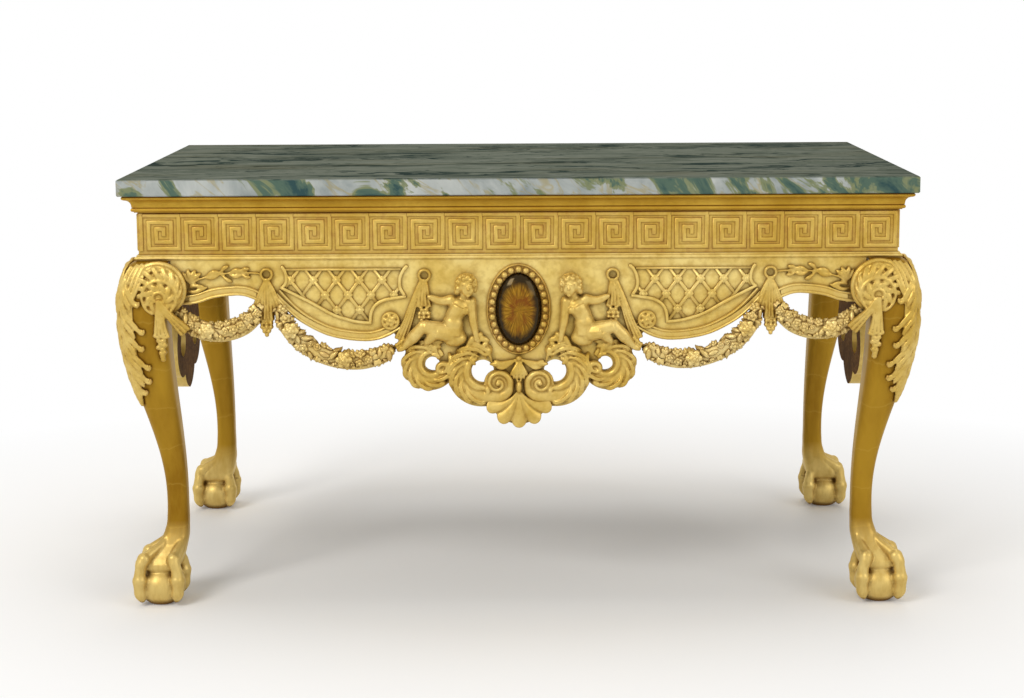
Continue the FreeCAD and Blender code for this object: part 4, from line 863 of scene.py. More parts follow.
def foot_clay():
    """Paw that grips a ball with four toes, webbed down to the ball's shoulder, in corner space."""
    clay = Clay()
    middle = np.array((*FOOT_MIDDLE, 0.0))
    clay.ball((*FOOT_MIDDLE, BALL_LEVEL), (BALL_RADIUS, BALL_RADIUS, BALL_RISE), 0, 24, 36)
    rings = []
    for level, proud in FOOT_COLLAR:
        outer, wide, roundness = ankle_law(level)
        rings.append(leg_ring(level, outer + proud, wide + 2 * proud, roundness))
    for level, place, half, roundness in FOOT_WEB:
        rings.append(leg_ring(level, half - place, 2 * half, roundness))
    caps = [[np.mean(ring, 0)] * len(ring) for ring in (rings[0], rings[-1])]
    clay.skin(np.array([caps[0], *rings, caps[1]]))
    for across, out in ((-1, 1), (1, 1), (-1, -1), (1, -1)):
        way = np.array((across, out, 0.0)) / math.sqrt(2)
        tendon = [TENDON_START + np.array((across, out, 0)) * TENDON_START_REACH,
                  TENDON_END + way * TENDON_END_REACH]
        toe = [middle + way * reach + (0, 0, level) for reach, level in TOE_LINE]
        path = line_through(tendon + toe, 40)
        size = along_piece(40, *TOE_SIZE)
        clay.rod(path, size, size, out=np.cross((0, 0, 1.0), way), sides=16)
        for reach, level, radius in TOE_KNUCKLES:
            clay.ball(middle + way * reach + (0, 0, level), radius, 0, 12, 18)
    return clay


def make_legs():
    """Cabriole legs with paw and ball feet, each one closed skin with its corner post."""
    levels = np.concatenate([
        np.linspace(APRON_TOP, KNEE_LEVEL, 16), np.linspace(KNEE_LEVEL, ANKLE_LEVEL, 46)[1:],
        np.linspace(ANKLE_LEVEL, FOOT_TOP, 14)[1:]])
    shaft = loft([leg_ring(level, *ankle_law(level)) for level in levels[::-1]])
    post_ends = (APRON_TOP - POST_LAP, SLAB_LOW - POST_GAP)
    post_outer = -FRIEZE_THICK - POST_GAP
    post = loft([leg_ring(level, post_outer, POST_WIDE, POST_EASE, 3) for level in post_ends])
    foot = carve(foot_clay(), FOOT_CUT)
    foot[0][:, 2] = np.maximum(foot[0][:, 2], 0.0)
    whole = together([shaft, post, foot])
    for corner in CORNERS:
        make_piece(f"gilt_leg_{corner}", at_corner(whole[0], corner), whole[1], gilt_leg, f"leg_{corner}")


# Carving on the knees, in corner space (inwards from the corner, outwards, up)

ROUNDEL = (42, 631)
ROUNDEL_EYE = (46, 617)
CARVING_REACH = 42.5


def on_corner(level, away, lift):
    """A point on the leg's rounded outer corner, some way round it from its crest."""
    outer, wide, roundness = leg_law(level)
    radius = wide * roundness
    turn = math.pi / 4 + away / radius
    kept = min(max(turn, 0.0), math.pi / 2)
    past = (turn - kept) * radius
    inward = -outer + radius - (radius + lift) * math.cos(kept) + max(past, 0)
    out = outer - radius + (radius + lift) * math.sin(kept) + min(past, 0)
    return inward, out, level


def knee_face(level):
    """How far the leg's face stands out at a height."""
    return leg_law(level)[0]


def on_knee(points, lift):
    """Points given as (inwards, up), laid on the leg's bulging face."""
    flat = np.asarray(points, float)
    lifts = np.broadcast_to(lift, len(flat))
    return np.array([(a, knee_face(up) + rise, up) for (a, up), rise in zip(flat, lifts)])


def knee_clay():
    """Round leaf scroll with its rosette, and the pleated tassel that hangs from it."""
    clay = Clay()
    u, z = ROUNDEL
    eye_u, eye_z = ROUNDEL_EYE
    clay.ball((u, 8, z), (52, 26, 51), 0, 18, 40)
    for reach, wide, high, lift in ((51, 3.4, 5, 16), (45, 2.8, 4, 23), (39.5, 2, 3, 27)):
        clay.rod(on_face(spiral((u, z), (reach, reach), (165, -140), 50), lift), wide, high)
    for step in range(10):
        angle = -28 + step * 24
        turn = np.radians([angle - 26, angle - 10, angle + 4, angle + 9])
        reach = np.array((30, 34, 41, 46))
        path = np.stack([eye_u + (u - eye_u) * (reach - 30) / 15 + reach * np.cos(turn),
                         eye_z + (z - eye_z) * (reach - 30) / 15 + reach * np.sin(turn)], 1)
        lifts = along_piece(12, (0, 33), (0.5, 32), (1, 24))
        shape = along_piece(12, (0, 0.5), (0.5, 1), (0.85, 0.9), (1, 0.4))
        clay.rod(on_face(line_through(path, 12), lifts), 5.4 * shape, 5 * shape, groove=0.4)
    clay.ball((eye_u, 27, eye_z), (34, 9, 34), 0, 12, 30)
    clay.rod(on_face(spiral(ROUNDEL_EYE, (33, 33), (250, -70), 44), 34), 3.2, 4)
    for step in range(8):
        angle = 40 * step - 50
        path = spiral(ROUNDEL_EYE, (11, 28), (angle - 30, angle + 22), 8)
        lifts = along_piece(8, (0, 35), (0.6, 36.5), (1, 34))
        wide, high = along_piece(8, (0, 2.4), (0.6, 5.2), (1, 3.4)), along_piece(8, (0, 3), (0.6, 4), (1, 3))
        clay.rod(on_face(path, lifts), wide, high, groove=0.35)
    clay.rod(on_face(spiral(ROUNDEL_EYE, (11, 11), (220, -40), 24), 36), 3, 4)
    hang_tassel(clay)
    strap = line_through([(50, 606), (62, 588), (76, 570), (92, 550)], 16)
    strap = on_knee(strap, along_piece(16, (0, 6), (0.5, 1), (1, -13)))
    cloth_fall(clay, strap, (5, 8, 13), (5, 6, 8), 3)
    return clay


KNEE_BERRIES = [(43, 535), (52, 534), (47, 527), (55, 526), (42, 521), (50, 518), (47, 510), (53, 511),
                (49, 503), (50, 497)]


def hang_tassel(clay):
    """Pleated cloth and berries on the knee's front."""
    drop = line_through([(46, 614), (47, 585), (48, 556), (49, 546)], 22)
    drop = on_knee(drop, along_piece(22, (0, 5), (0.3, 3), (1, 2)))
    cloth_fall(clay, drop, (5, 9, 13, 15), (5, 5.5, 6, 7))
    hem = on_knee([(34, 545), (41, 542), (49, 544), (57, 541), (64, 544)], 5)
    clay.rod(line_through(hem, 16), 3, 4.5)
    for along, up in KNEE_BERRIES:
        clay.ball((along, knee_face(up) + 3, up), (5.4, 6, 5.2), 0, 8, 12)


# Corner leaf: its body as (level, spread), its tips as (level, way round the corner)
LEAF_BODY = [(662, 9), (600, 10), (540, 10), (490, 9), (450, 6), (426, 2)]
LEAF_TIPS = [(606, 27), (552, 34), (519, 28), (481, 32), (453, 25), (430, 10)]
LEAF_LINES = [
    # way round the corner, high, low, width
    (0, 676, 600, 3.6), (8.5, 679, 600, 3.2), (17, 680, 590, 3.2), (25.5, 681, 592, 3.2), (34, 681, 604, 3.2),
]
LEAF_FINGERS = [
    # how far out, drop, width, lift
    (1.0, 0, 5.2, 3.2), (0.72, 10, 4.4, 5), (0.44, 20, 3.8, 4.6), (0.18, 29, 3.2, 4),
]


def corner_clay():
    """Acanthus leaf that runs down the outer corner of the knee to a point."""
    clay = Clay()

    def lay(places, wide, high, groove=0.0, count=14):
        """A rod through places given as (level, way round the corner, lift)."""
        fine = line_through(places, count)
        path = np.array([on_corner(*place) for place in fine])
        proud = np.array([on_corner(level, away, lift + 5) for level, away, lift in fine]) - path
        clay.rod(path, wide, high, out=proud, groove=groove)

    body_wide = along_piece(24, (0, 6), (0.2, 15), (0.7, 13), (1, 3))
    body_high = along_piece(24, (0, 2.5), (0.2, 4), (1, 2.5))
    for hand in (-1, 1):
        lay([(level, hand * spread, -1) for level, spread in LEAF_BODY], body_wide, body_high, count=24)
        for away, high, low, wide in LEAF_LINES:
            lay([(high, hand * (away + 6), 2), (high - 30, hand * (away + 2), 3),
                 ((high + low) / 2, hand * away, 3), (low, hand * away * 0.6, 1.5)], wide, 3.4, count=20)
        for level, away in LEAF_TIPS:
            away *= hand
            shape = along_piece(14, (0, 0.5), (0.4, 0.95), (0.75, 1.0), (1, 0.5))
            for share, drop, wide, lift in LEAF_FINGERS:
                end = away * share
                lay([(level + 54 - drop, hand * 2, 1.5), (level + 30 - drop, end * 0.35, lift),
                     (level + 9 - drop, end * 0.8, lift), (level - 2 - drop, end, lift)],
                    wide * shape, 5 * shape, 0.4)
            lay([(level + 3, away, 2), (level - 4, away + hand * 3, 3.6), (level - 3, away + hand * 8, 4.4),
                 (level + 4, away + hand * 9, 5)], (5.6, 5, 4.2, 3.4, 2.4), 4, count=5)
    return clay


def make_knee_carvings():
    """A roundel with its tassel on both outer faces of each knee, and a leaf on the corner between."""
    roundel, roundel_faces = carve(knee_clay(), KNEE_CUT)
    leaf, leaf_faces = carve(corner_clay(), KNEE_CORNER_CUT)
    for points in (roundel, leaf):
        points[:, 1] = np.minimum(points[:, 1], CARVING_REACH)
        points[:, 0] = np.maximum(points[:, 0], -CARVING_REACH)
    for corner in CORNERS:
        points, faces = together([
            (at_corner(roundel, corner), roundel_faces), (at_corner(roundel, corner, True), roundel_faces),
            (at_corner(leaf, corner), leaf_faces)])
        make_piece(f"leafy_knee_{corner}", points, faces, gilt_knee, f"knee_carving_{corner}")


# Carved pendant: scrolls, shell and leaves, for the right half of a side

OUTER_SCROLL = (177, 479)
INNER_SCROLL = (76, 463)
VOLUTE = (41, 443)
SHELL_KNOB = 436
COMB_LIFT = 5


def comb_leaf(clay, middle, band, degrees, count, wide, high, sweep=84):
    """Lobes that sweep along a scroll's back from its inner edge out to its rim."""
    for angle in np.linspace(*degrees, count):
        turns = np.radians(angle + sweep * np.array((0.62, 0.2, -0.16, -0.38)))
        reach = np.array([band[0], band[0] * 0.5 + band[1] * 0.5, band[0] * 0.1 + band[1] * 0.9, band[1]])
        path = np.stack([middle[0] + reach * np.cos(turns), middle[1] + reach * np.sin(turns)], 1)
        lifts = COMB_LIFT + along_piece(15, (0, 0), (0.45, high * 0.8), (0.85, 1), (1, -5))
        shape = along_piece(15, (0, 0.3), (0.4, 0.85), (0.78, 1.0), (1, 0.7))
        clay.rod(on_face(line_through(path, 15), lifts), wide * shape, high * shape, groove=0.45, sides=12)


def outer_scroll(clay):
    """Small leaf scroll that closes on a curled eye."""
    body = spiral(OUTER_SCROLL, (34, 33), (150, -185), 44)
    clay.rod(on_face(body, 2), along_piece(44, (0, 4), (0.15, 11), (0.5, 16.5), (0.8, 15), (1, 8)),
             along_piece(44, (0, 4), (0.3, 7), (0.7, 8), (1, 7)), sides=16)
    spine = spiral((168, 481), (24, 22), (100, -150), 30)
    clay.rod(on_face(spine, 3), along_piece(30, (0, 4), (0.3, 7), (0.8, 7), (1, 5)),
             along_piece(30, (0, 6), (0.5, 9), (1, 8)))
    curl = spiral((148, 470), (15, 4), (210, -150), 26)
    clay.rod(on_face(curl, 6), along_piece(26, (0, 7), (0.6, 5), (1, 4)), along_piece(26, (0, 9), (1, 7)))
    comb_leaf(clay, OUTER_SCROLL, (23, 48), (100, -175), 9, 4.7, 7)
    for tip, bend in (((146, 524), (160, 527)), ((150, 513), (163, 520)), ((158, 505), (168, 513))):
        clay.petal([(186, 515), bend, tip], 5.5, 6, lift=(8, 6))
    clay.petal([(168, 499), (159, 499), (152, 491)], 5, 6, lift=(8, 5))


def inner_scroll(clay):
    """Large leaf scroll that runs under the oval and winds up in a volute."""
    sweep = spiral(INNER_SCROLL, (42, 46), (84, -86), 34)
    wind = spiral(VOLUTE, (29, 5), (-100, -640), 64, 0.85)
    body = np.vstack([sweep, wind])
    count = len(body)
    wide = along_piece(count, (0, 7), (0.12, 15), (0.3, 16), (0.42, 9), (0.55, 6), (1, 4.5))
    high = along_piece(count, (0, 6), (0.15, 8), (0.33, 9), (0.5, 12), (0.8, 14), (1, 15))
    clay.rod(on_face(body, 2), wide, high, sides=16)
    spine = spiral((72, 465), (28, 32), (70, -100), 28)
    clay.rod(on_face(spine, 3), along_piece(28, (0, 4), (0.3, 8), (0.8, 9), (1, 6)),
             along_piece(28, (0, 6), (0.5, 10), (1, 9)))
    comb_leaf(clay, INNER_SCROLL, (31, 60), (96, -76), 8, 5, 8, 74)
    clay.ball((VOLUTE[0], 3, VOLUTE[1]), (27, 7, 27), 0, 10, 24)
    clay.ball((VOLUTE[0], 12, VOLUTE[1]), (5, 7, 5))
    for tip, bend, root in (((70, 541), (79, 536), (98, 517)), ((57, 527), (74, 530), (92, 512)),
                            ((84, 536), (92, 528), (104, 508))):
        clay.petal([root, bend, tip], 6, 7, lift=(8, 8))
    curl = spiral((62, 508), (13, 3), (95, -300), 26)
    clay.rod(on_face(curl, 6), along_piece(26, (0, 5), (1, 3.4)), along_piece(26, (0, 8), (1, 7)))
    clay.ball((62, 3, 508), (12, 6, 12))
    clay.petal([(88, 500), (92, 489), (84, 479)], 5, 6, lift=(7, 6))
    clay.petal([(73, 414), (60, 424), (64, 436)], 5, 7, lift=(6, 6))


def oval_leaves(clay, hand):
    """Leaf spray, ribbed fan and knob between the volutes."""
    for tip, bend in (((48, 487), (28, 479)), ((44, 474), (28, 474)), ((56, 480), (36, 481))):
        clay.petal([(hand * 6, 488), (hand * bend[0], bend[1]), (hand * tip[0], tip[1])], 5, 6, lift=(5, 5))
    for spread, low in ((4, 446), (11, 450), (17, 457)):
        rib = [(hand * 1.5, 486), (hand * spread * 0.6, 470), (hand * spread, low)]
        clay.petal(rib, 3.6, 5, 0, lift=(5, 7))


SHELL_HALF_TURN = 66


def shell(clay, knob, tip):
    """Shell of five round ribs that hangs from a knob, its rim scalloped."""
    clay.rod(on_face([(0, knob + step) for step in (-10, -4, 4, 10)], 9), (4, 6, 6, 4), (7, 10, 10, 7))
    long = knob - tip
    shares = np.linspace(-1, 1, 101)
    lobe = np.abs(np.cos(shares * 2.5 * np.pi))
    rim = (0.86 + 0.19 * lobe**0.6) * (1 - 0.07 * shares**2)
    rows = []
    for reach in np.linspace(0.06, 1.0, 18):
        lean = np.radians(shares * SHELL_HALF_TURN * (0.25 + 0.75 * reach**0.8))
        crest = 4 + 5 * math.sin(reach * 2.6) + lobe**0.7 * (1 + 6.5 * reach)
        far = long * reach * (1 + (rim - 1) * reach**2)
        front = np.stack([far * np.sin(lean), crest, knob - far * np.cos(lean)], 1)
        back = front[::-1].copy()
        back[:, 1] = -1
        rows.append(np.vstack([front, back]))
    first = np.repeat(rows[0].mean(0)[None], len(rows[0]), 0)
    last = rows[-1].copy()
    last[:, 1] = -1
    clay.skin(np.array([first, *rows, last]))


def flower_disc(clay, middle, radius):
    """A small round flower in a plain rim."""
    clay.ball((middle[0], 2, middle[1]), (radius, 7, radius))
    clay.ring(middle, radius - 2.5, 3, 4, 6)
    for turn in range(6):
        angle = math.radians(60 * turn + 15)
        reach = radius * 0.45
        clay.ball((middle[0] + reach * math.cos(angle), 9, middle[1] + reach * math.sin(angle)),
                  (radius * 0.3, 4, radius * 0.22), 60 * turn + 15)
    clay.ball((middle[0], 11, middle[1]), (radius * 0.2, 4, radius * 0.2))


# Seated figure in half relief, right half of a side: joints as (along, outwards, up)

FIGURE = {
    "head": (100, 17, 635), "neck": (106, 9, 612), "collar": (112, 8, 603), "chest": (113, 8, 594),
    "waist": (124, 8, 573), "belly": (126, 9, 562), "hip": (127, 7, 540), "seat": (122, 6, 530),
    "near_shoulder": (129, 8, 606), "near_elbow": (151, 11, 605), "near_hand": (170, 12, 613),
    "far_shoulder": (92, 8, 602), "far_elbow": (88, 12, 568), "far_wrist": (82, 12, 537),
    "far_hand": (79, 11, 523),
    "near_knee": (183, 17, 557), "near_ankle": (222, 8, 514), "near_toe": (234, 7, 508),
    "far_knee": (160, 20, 545), "far_ankle": (178, 12, 524),
}


def figure(clay):
    """A calm seated figure with one arm out to the cloth and one hand on the scroll."""
    at = {joint: np.array(place, float) for joint, place in FIGURE.items()}

    def mass(joint, radii, lean=0.0):
        clay.ball(at[joint], radii, lean, 12, 18)

    def bone(joints, sizes, count=12):
        path = line_through([at[joint] for joint in joints], count)
        size = spaced(count, sizes)
        clay.rod(path, size, size, sides=14)

    bone(("chest", "waist", "hip"), (20, 17, 21))
    mass("chest", (21, 15, 18), 20)
    mass("collar", (24, 10, 10), 6)
    mass("belly", (20, 18, 19), 10)
    mass("hip", (24, 17, 18), 10)
    mass("seat", (23, 17, 15), -10)
    for along, up in ((123, 590), (102, 587)):
        clay.ball((along, 17, up), (8.5, 8, 8.5), 0, 10, 14)
    mass("near_shoulder", 11.5)
    mass("far_shoulder", 11.5)
    bone(("collar", "neck", "head"), (10, 8.5, 9))
    bone(("near_shoulder", "near_elbow", "near_hand"), (11, 8.8, 7.8, 5.2))
    mass("near_hand", (6.5, 5, 4.5), 20)
    bone(("far_shoulder", "far_elbow", "far_wrist"), (11, 9, 8, 5.6))
    bone(("far_wrist", "far_hand"), (5.6, 6.2, 3.4), 7)
    bone(("hip", "near_knee"), (19, 17, 13))
    mass("near_knee", (12.5, 11, 11.5))
    bone(("near_knee", "near_ankle"), (11.5, 12.5, 6.4))
    bone(("near_ankle", "near_toe"), (6.4, 6, 3.6), 7)
    bone(("hip", "far_knee"), (18, 16, 12.5))
    bone(("far_knee", "far_ankle"), (11.5, 10.5, 7))
    head(clay, at["head"])


# Hair: how many locks, and the turn in radians from one to the next
HAIR_LOCKS, HAIR_TURN = 46, 2.4


def head(clay, middle):
    """A plain oval head, bent a little towards the oval, with short curled hair."""
    u, w, z = middle
    clay.ball((u, w - 1, z + 2), (17, 16, 18), 8, 14, 20)
    clay.ball((u - 3, w + 7, z - 6), (12.5, 10, 14), 8, 14, 18)
    nose = np.array([(u - 3.6, w + 16, z + 1), (u - 4.2, w + 19, z - 5.5)])
    clay.rod(nose, (1.8, 2.4), (1.8, 2.4), out=np.array((1.0, 0, 0)))
    clay.ball((u - 4, w + 15.6, z - 11.5), (3.8, 2.4, 1.4))
    clay.ball((u - 3.6, w + 13.6, z - 17), (4.6, 3.6, 3.2))
    for side in (-1, 1):
        clay.ball((u - 3 + side * 6, w + 14.4, z - 0.5), (3.2, 2, 1.6))
        clay.ball((u - 3 + side * 6, w + 15.2, z + 3.4), (4.6, 2, 1.2), side * -8)
        clay.ball((u - 3 + side * 7, w + 12, z - 8), (4, 3.4, 4.4))
    for step in range(HAIR_LOCKS):
        rise = 1 - 1.5 * (step + 0.5) / HAIR_LOCKS
        turn = step * HAIR_TURN
        level = math.sqrt(1 - rise * rise)
        across, out = level * math.cos(turn), level * math.sin(turn)
        if out > 0.35 and rise < 0.5 or out < -0.5:
            continue
        place = (u + 18 * across, w + 15 * out, z + 3 + 18.5 * rise)
        clay.ball(place, (5.2, 5, 4.6), math.degrees(turn), 8, 12)
    clay.ball((u + 17, w - 2, z - 9), (7, 8, 9), 20)
    clay.ball((u - 16, w - 3, z - 6), (5, 7, 9), -10)


# Aprons, their edge mouldings and what lies on them, for the right half of a side

LEG_LINE = {True: HALF_X + LEG_SHOULDER - LEG_BLOCK, False: HALF_Y + LEG_SHOULDER - LEG_BLOCK}
TASSEL_PLACE = {True: 484, False: 142}
RING_LEVEL = APRON_TOP - 27
ARCH_SECTION = [(0.3, -1), (0.3, 5), (1.4, 7.2), (3.2, 8), (5.0, 7.2), (6.2, 5.0), (6.8, 1.6), (8.6, 1.0),
                (11, 1.8), (13.4, 3.6), (15.2, 6.2), (16.6, 7.2), (18.2, 6.6), (19.2, 4.6), (19.5, -1)]
LONG_ARCH = [(221, 553), (235, 545), (250, 537), (270, 529), (296, 526), (333, 529), (370, 538), (412, 559),
             (442, 582), (472, 615)]


def small_arch(long_side):
    """Lower edge of the apron between the leg and the hanging cloth."""
    step, neck = LEG_LINE[long_side] - 35, TASSEL_PLACE[long_side] + 20
    run = step - neck
    knots = [(neck - 9, 602), (neck, 606), (step - run * 0.83, 614.5), (step - run * 0.65, 616),
             (step - run * 0.37, 611.5), (step - run * 0.14, 602), (step + 8, 598.5),
             (LEG_LINE[long_side] - 2, 598)]
    return line_through(knots, 44)


def apron_edges(long_side):
    """Raised mouldings along the apron's lower edge."""
    parts = [strip(small_arch(long_side), ARCH_SECTION)]
    if long_side:
        parts.append(strip(line_through(LONG_ARCH, 60), ARCH_SECTION))
    return together(parts)


HUSK_LEAVES = [
    # root, bend, tip, width
    ((632, 640), (628, 654), (620, 666), 4.5), ((632, 640), (621, 652), (610, 660), 4.5),
    ((632, 638), (634, 656), (634, 668), 4.2), ((632, 640), (640, 650), (644, 662), 4),
    ((634, 632), (618, 636), (604, 633), 4), ((640, 626), (622, 624), (598, 633), 4.5),
    ((600, 652), (588, 660), (574, 661), 6), ((600, 650), (590, 652), (576, 656), 5.5),
    ((572, 660), (566, 669), (556, 674), 4.5), ((570, 656), (560, 648), (550, 643), 4.5),
    ((556, 659), (544, 665), (530, 664), 5), ((556, 657), (544, 654), (532, 657), 5),
    ((534, 662), (526, 668), (516, 668), 4), ((534, 660), (524, 653), (514, 652), 4),
]
HUSK_STEM = [(632, 634), (618, 646), (600, 652), (572, 658), (540, 661), (512, 660), (500, 659)]


def husk_branch(clay):
    """Stem with husks and leaves between the knee and the ring."""
    clay.rod(on_face(line_through(HUSK_STEM, 26), 2), 2.2, 3.6)
    for root, bend, tip, wide in HUSK_LEAVES:
        clay.petal([root, bend, tip], wide, 5.5, lift=(2, 3))


CLOTH_STEPS, CLOTH_LIFT = 24, 2


def cloth_fall(clay, points, wide, high, pleats=4):
    """A narrow fall of cloth in round pleats side by side."""
    path = line_through(points, CLOTH_STEPS)
    path = path if path.shape[1] == 3 else on_face(path, CLOTH_LIFT)
    spread, rise = spaced(CLOTH_STEPS, wide), spaced(CLOTH_STEPS, high)
    side = np.cross(np.gradient(path, axis=0), OUT)
    side /= np.linalg.norm(side, axis=1)[:, None]
    for place in (np.arange(pleats) + 0.5) / pleats * 2 - 1:
        pleat = path + side * (spread * place)[:, None]
        clay.rod(pleat, spread / pleats * 1.06, rise * (1.25 - 0.5 * place**2))


BERRY_RADIUS = 4.4


def berry_drop(clay, middle, rows):
    """Cluster of berries under a cloth: how many lie in each row."""
    for row, count in enumerate(rows):
        for number in range(count):
            along = middle[0] + (number - (count - 1) / 2) * BERRY_RADIUS * 2
            place = (along, 7 + 2 * (number % 2), middle[1] - row * BERRY_RADIUS * 1.75)
            clay.ball(place, (BERRY_RADIUS, BERRY_RADIUS * 1.4, BERRY_RADIUS), 0, 8, 12)


def ring_cloth(clay, middle, long, falls, rows):
    """Ring with a pleated cloth through it, falls to its sides and a berry drop."""
    u, z = middle
    clay.ring(middle, 10.4, 3.0, 4.2, 4.5)
    end = z - long
    cloth_fall(clay, [(u, z - 7), (u + 0.5, z - long * 0.4), (u + 1, z - long * 0.8), (u + 1, end)],
               (5, 9, 13, 15), (6, 7, 9, 10))
    hem = line_through([(u - 13, end), (u - 6, end - 3), (u + 1, end), (u + 8, end - 3), (u + 15, end)], 18)
    clay.rod(on_face(hem, 5), 2.6, 6)
    berry_drop(clay, (u + 1, end - 8), rows)
    for tip, bend in falls:
        cloth_fall(clay, [(u, z - 9), bend, tip], (4, 7, 10), (5, 6, 7), 3)


def side_cloth(clay):
    """Slanting fall from the figure's ring to the foot of the trellis, its hem worked in squares."""
    cloth_fall(clay, [(186, 646), (198, 612), (213, 566), (228, 528)], (4, 7, 10, 13), (5, 6, 7, 8), 4)
    for step in range(4):
        clay.ball((220 + step * 5.4, 7, 529 - step * 3.4), (3.6, 6, 4), -32, 8, 10)
        clay.ball((217.5 + step * 5.4, 7, 523 - step * 3.4), (3.6, 6, 4), -32, 8, 10)


# Trellis panel

TRELLIS_ENDS = [
    [(213, 673), (222, 663), (228, 648), (228, 630), (219, 614)],
    [(455, 673), (448, 661), (446, 647), (449, 637), (456, 630)],
]
TRELLIS_TOP = [(226, 666), (449, 666)]
TRELLIS_LOW = [(216.5, 613.3), (238, 610), (259, 606), (275, 597), (284, 582), (286.5, 561)]
TRELLIS_SWEEP = [(283.5, 561.6), (316, 565), (357, 578), (398, 601), (458.4, 632.3)]
TRELLIS_SPAN, TRELLIS_HIGH, TRELLIS_CORNER = (228, 448), 666, 286
# Lattice: its first crossing, and how far apart the crossings of a row and the rows lie
LATTICE_START, LATTICE_PITCH, LATTICE_RISE = (262, 645), 44, 29
LATTICE_LOW, LATTICE_TALL = 545, 125
ROSETTE_ROWS, ROSETTES_IN_ROW = 3, 5
DISC = (247, 566)


def inside_trellis(along, up, room):
    """True where a point lies in the panel, clear of its frame by some room."""
    if not TRELLIS_SPAN[0] + room < along < TRELLIS_SPAN[1] - room or up > TRELLIS_HIGH - room:
        return False
    edge = TRELLIS_LOW if along < TRELLIS_CORNER else TRELLIS_SWEEP
    return up > np.interp(along, *zip(*edge)) + room


def lattice_lines():
    """Ends of the crossed bars, those that rise and those that fall, which run under the frame."""
    lines = {1: [], -1: []}
    for fall, found in lines.items():
        for start in range(-10, 12):
            line = []
            for step in np.linspace(0, 1, 121):
                up = LATTICE_LOW + LATTICE_TALL * step
                lean = fall * (up - LATTICE_START[1]) * (LATTICE_PITCH / 2) / LATTICE_RISE
                along = LATTICE_START[0] + LATTICE_PITCH * start + lean
                if inside_trellis(along, up, 0.3):
                    line.append((along, up))
            if len(line) > 8:
                found.append((line[0], line[-1]))
    return lines


def lattice_crossings():
    """Places of the rosettes, row below row, every other row half a pitch back."""
    for row in range(ROSETTE_ROWS):
        up = LATTICE_START[1] - LATTICE_RISE * row
        for number in reversed(range(ROSETTES_IN_ROW)):
            along = LATTICE_START[0] + LATTICE_PITCH * (number - 0.5 * (row % 2))
            if inside_trellis(along, up, 6):
                yield along, 0.0, up


def rosette_stamp():
    """Four-petalled flower of the lattice, facing outwards."""
    rings = ((0.0, 6.6), (2.4, 6.2), (4.2, 4.4), (6.6, 5.4), (8.0, 3.4), (8.4, -1))
    sides = 16
    points = []
    for number, (reach, out) in enumerate(rings):
        for step in range(sides):
            angle = 2 * math.pi * step / sides
            lobe = 1 + 0.16 * math.cos(4 * angle) * (number > 2)
            points.append((reach * lobe * math.cos(angle), out, reach * lobe * math.sin(angle)))
    return stamp("rosette", points, ring_quads(len(rings), sides).tolist())


def trellis_parts():
    """Frame strips, bars and rosettes of the panel."""
    parts = [strip(line_through(end, 20), soft_bar(6.5, 6.6, 0.35)) for end in TRELLIS_ENDS]
    parts += [strip(TRELLIS_TOP, soft_bar(4.2, 5.6)),
              strip(line_through(TRELLIS_LOW, 24), soft_bar(6.5, 6.8, 0.35)),
              strip(line_through(TRELLIS_SWEEP, 28), soft_bar(6.5, 7, 0.35))]
    for fall, lines in lattice_lines().items():
        parts += [strip(line, soft_bar(6.8, 5 + 0.2 * fall, 0.4)) for line in lines]
    rosette = rosette_stamp()
    flowers = mesh_parts(REPEAT.make(mesh_of(list(lattice_crossings())), gilt_flat, Shape=rosette))
    put_away(rosette)
    return together(parts + [flowers])


# Oval frame with its beads

OVAL_SEMI = (62.5, 89)
OVAL_SECTION = [(0, -1), (0, 2.5), (0.8, 4.6), (2.2, 5.6), (3.4, 5.2), (4.2, 3.8), (5, 3), (16.6, 3),
                (17, 4.6), (17.4, 5), (17.8, 4), (18, 2), (18, -1)]
OVAL_BEADS, BEAD_RADIUS, BEAD_INSET, BEAD_LIFT = 28, 7, 11, 4


def oval_path(semi, count):
    angle = np.linspace(0, 2 * np.pi, count, endpoint=False)
    return np.stack([semi[0] * np.cos(angle), OVAL_MIDDLE + semi[1] * np.sin(angle)], 1)


def even_oval(semi, count):
    """Points at even steps round an oval."""
    fine = oval_path(semi, 2000)
    steps = np.linalg.norm(np.diff(np.vstack([fine, fine[:1]]), axis=0), axis=1)
    walked = np.concatenate([[0], np.cumsum(steps)])
    marks = np.linspace(0, walked[-1], count, endpoint=False)
    return np.stack([np.interp(marks, walked[:-1], fine[:, axis]) for axis in (0, 1)], 1)


def bead_stamp():
    lump = Clay()
    lump.ball((0, 0, 0), BEAD_RADIUS, 0, 6, 10)
    return stamp("bead", lump.points[0], lump.faces[0].tolist())


def oval_parts():
    """Moulded oval band with a ring of beads on it."""
    band = strip(oval_path(OVAL_SEMI, 96), OVAL_SECTION, True)
    bead = bead_stamp()
    ring = even_oval([semi - BEAD_INSET for semi in OVAL_SEMI], OVAL_BEADS)
    beads = mesh_parts(REPEAT.make(mesh_of(on_face(ring, BEAD_LIFT)), gilt_beads, Shape=bead))
    put_away(bead)
    return together([band, beads])


# Garlands

SWAGS = {
    # middle, radius, first and last angle
    "outer": ((578, 639), 92.5, (-36, -148)), "inner": ((316.5, 646), 155.5, (-21, -118)),
    "end": ((218, 639), 88, (-38, -146)),
}
# Places of the big roses, as shares of a garland's length
SWAG_ROSES = {"outer": (0.38,), "inner": (0.2, 0.66), "end": (0.38,)}
SWAG_CORE, SWAG_TIP, SWAG_LIFT, SWAG_STEPS = 14, 7, 8, 34
FLOWER_SPACING = 13.5
SWAG_LEAF = (13, 6, 3)
ROSE_RADIUS = 17


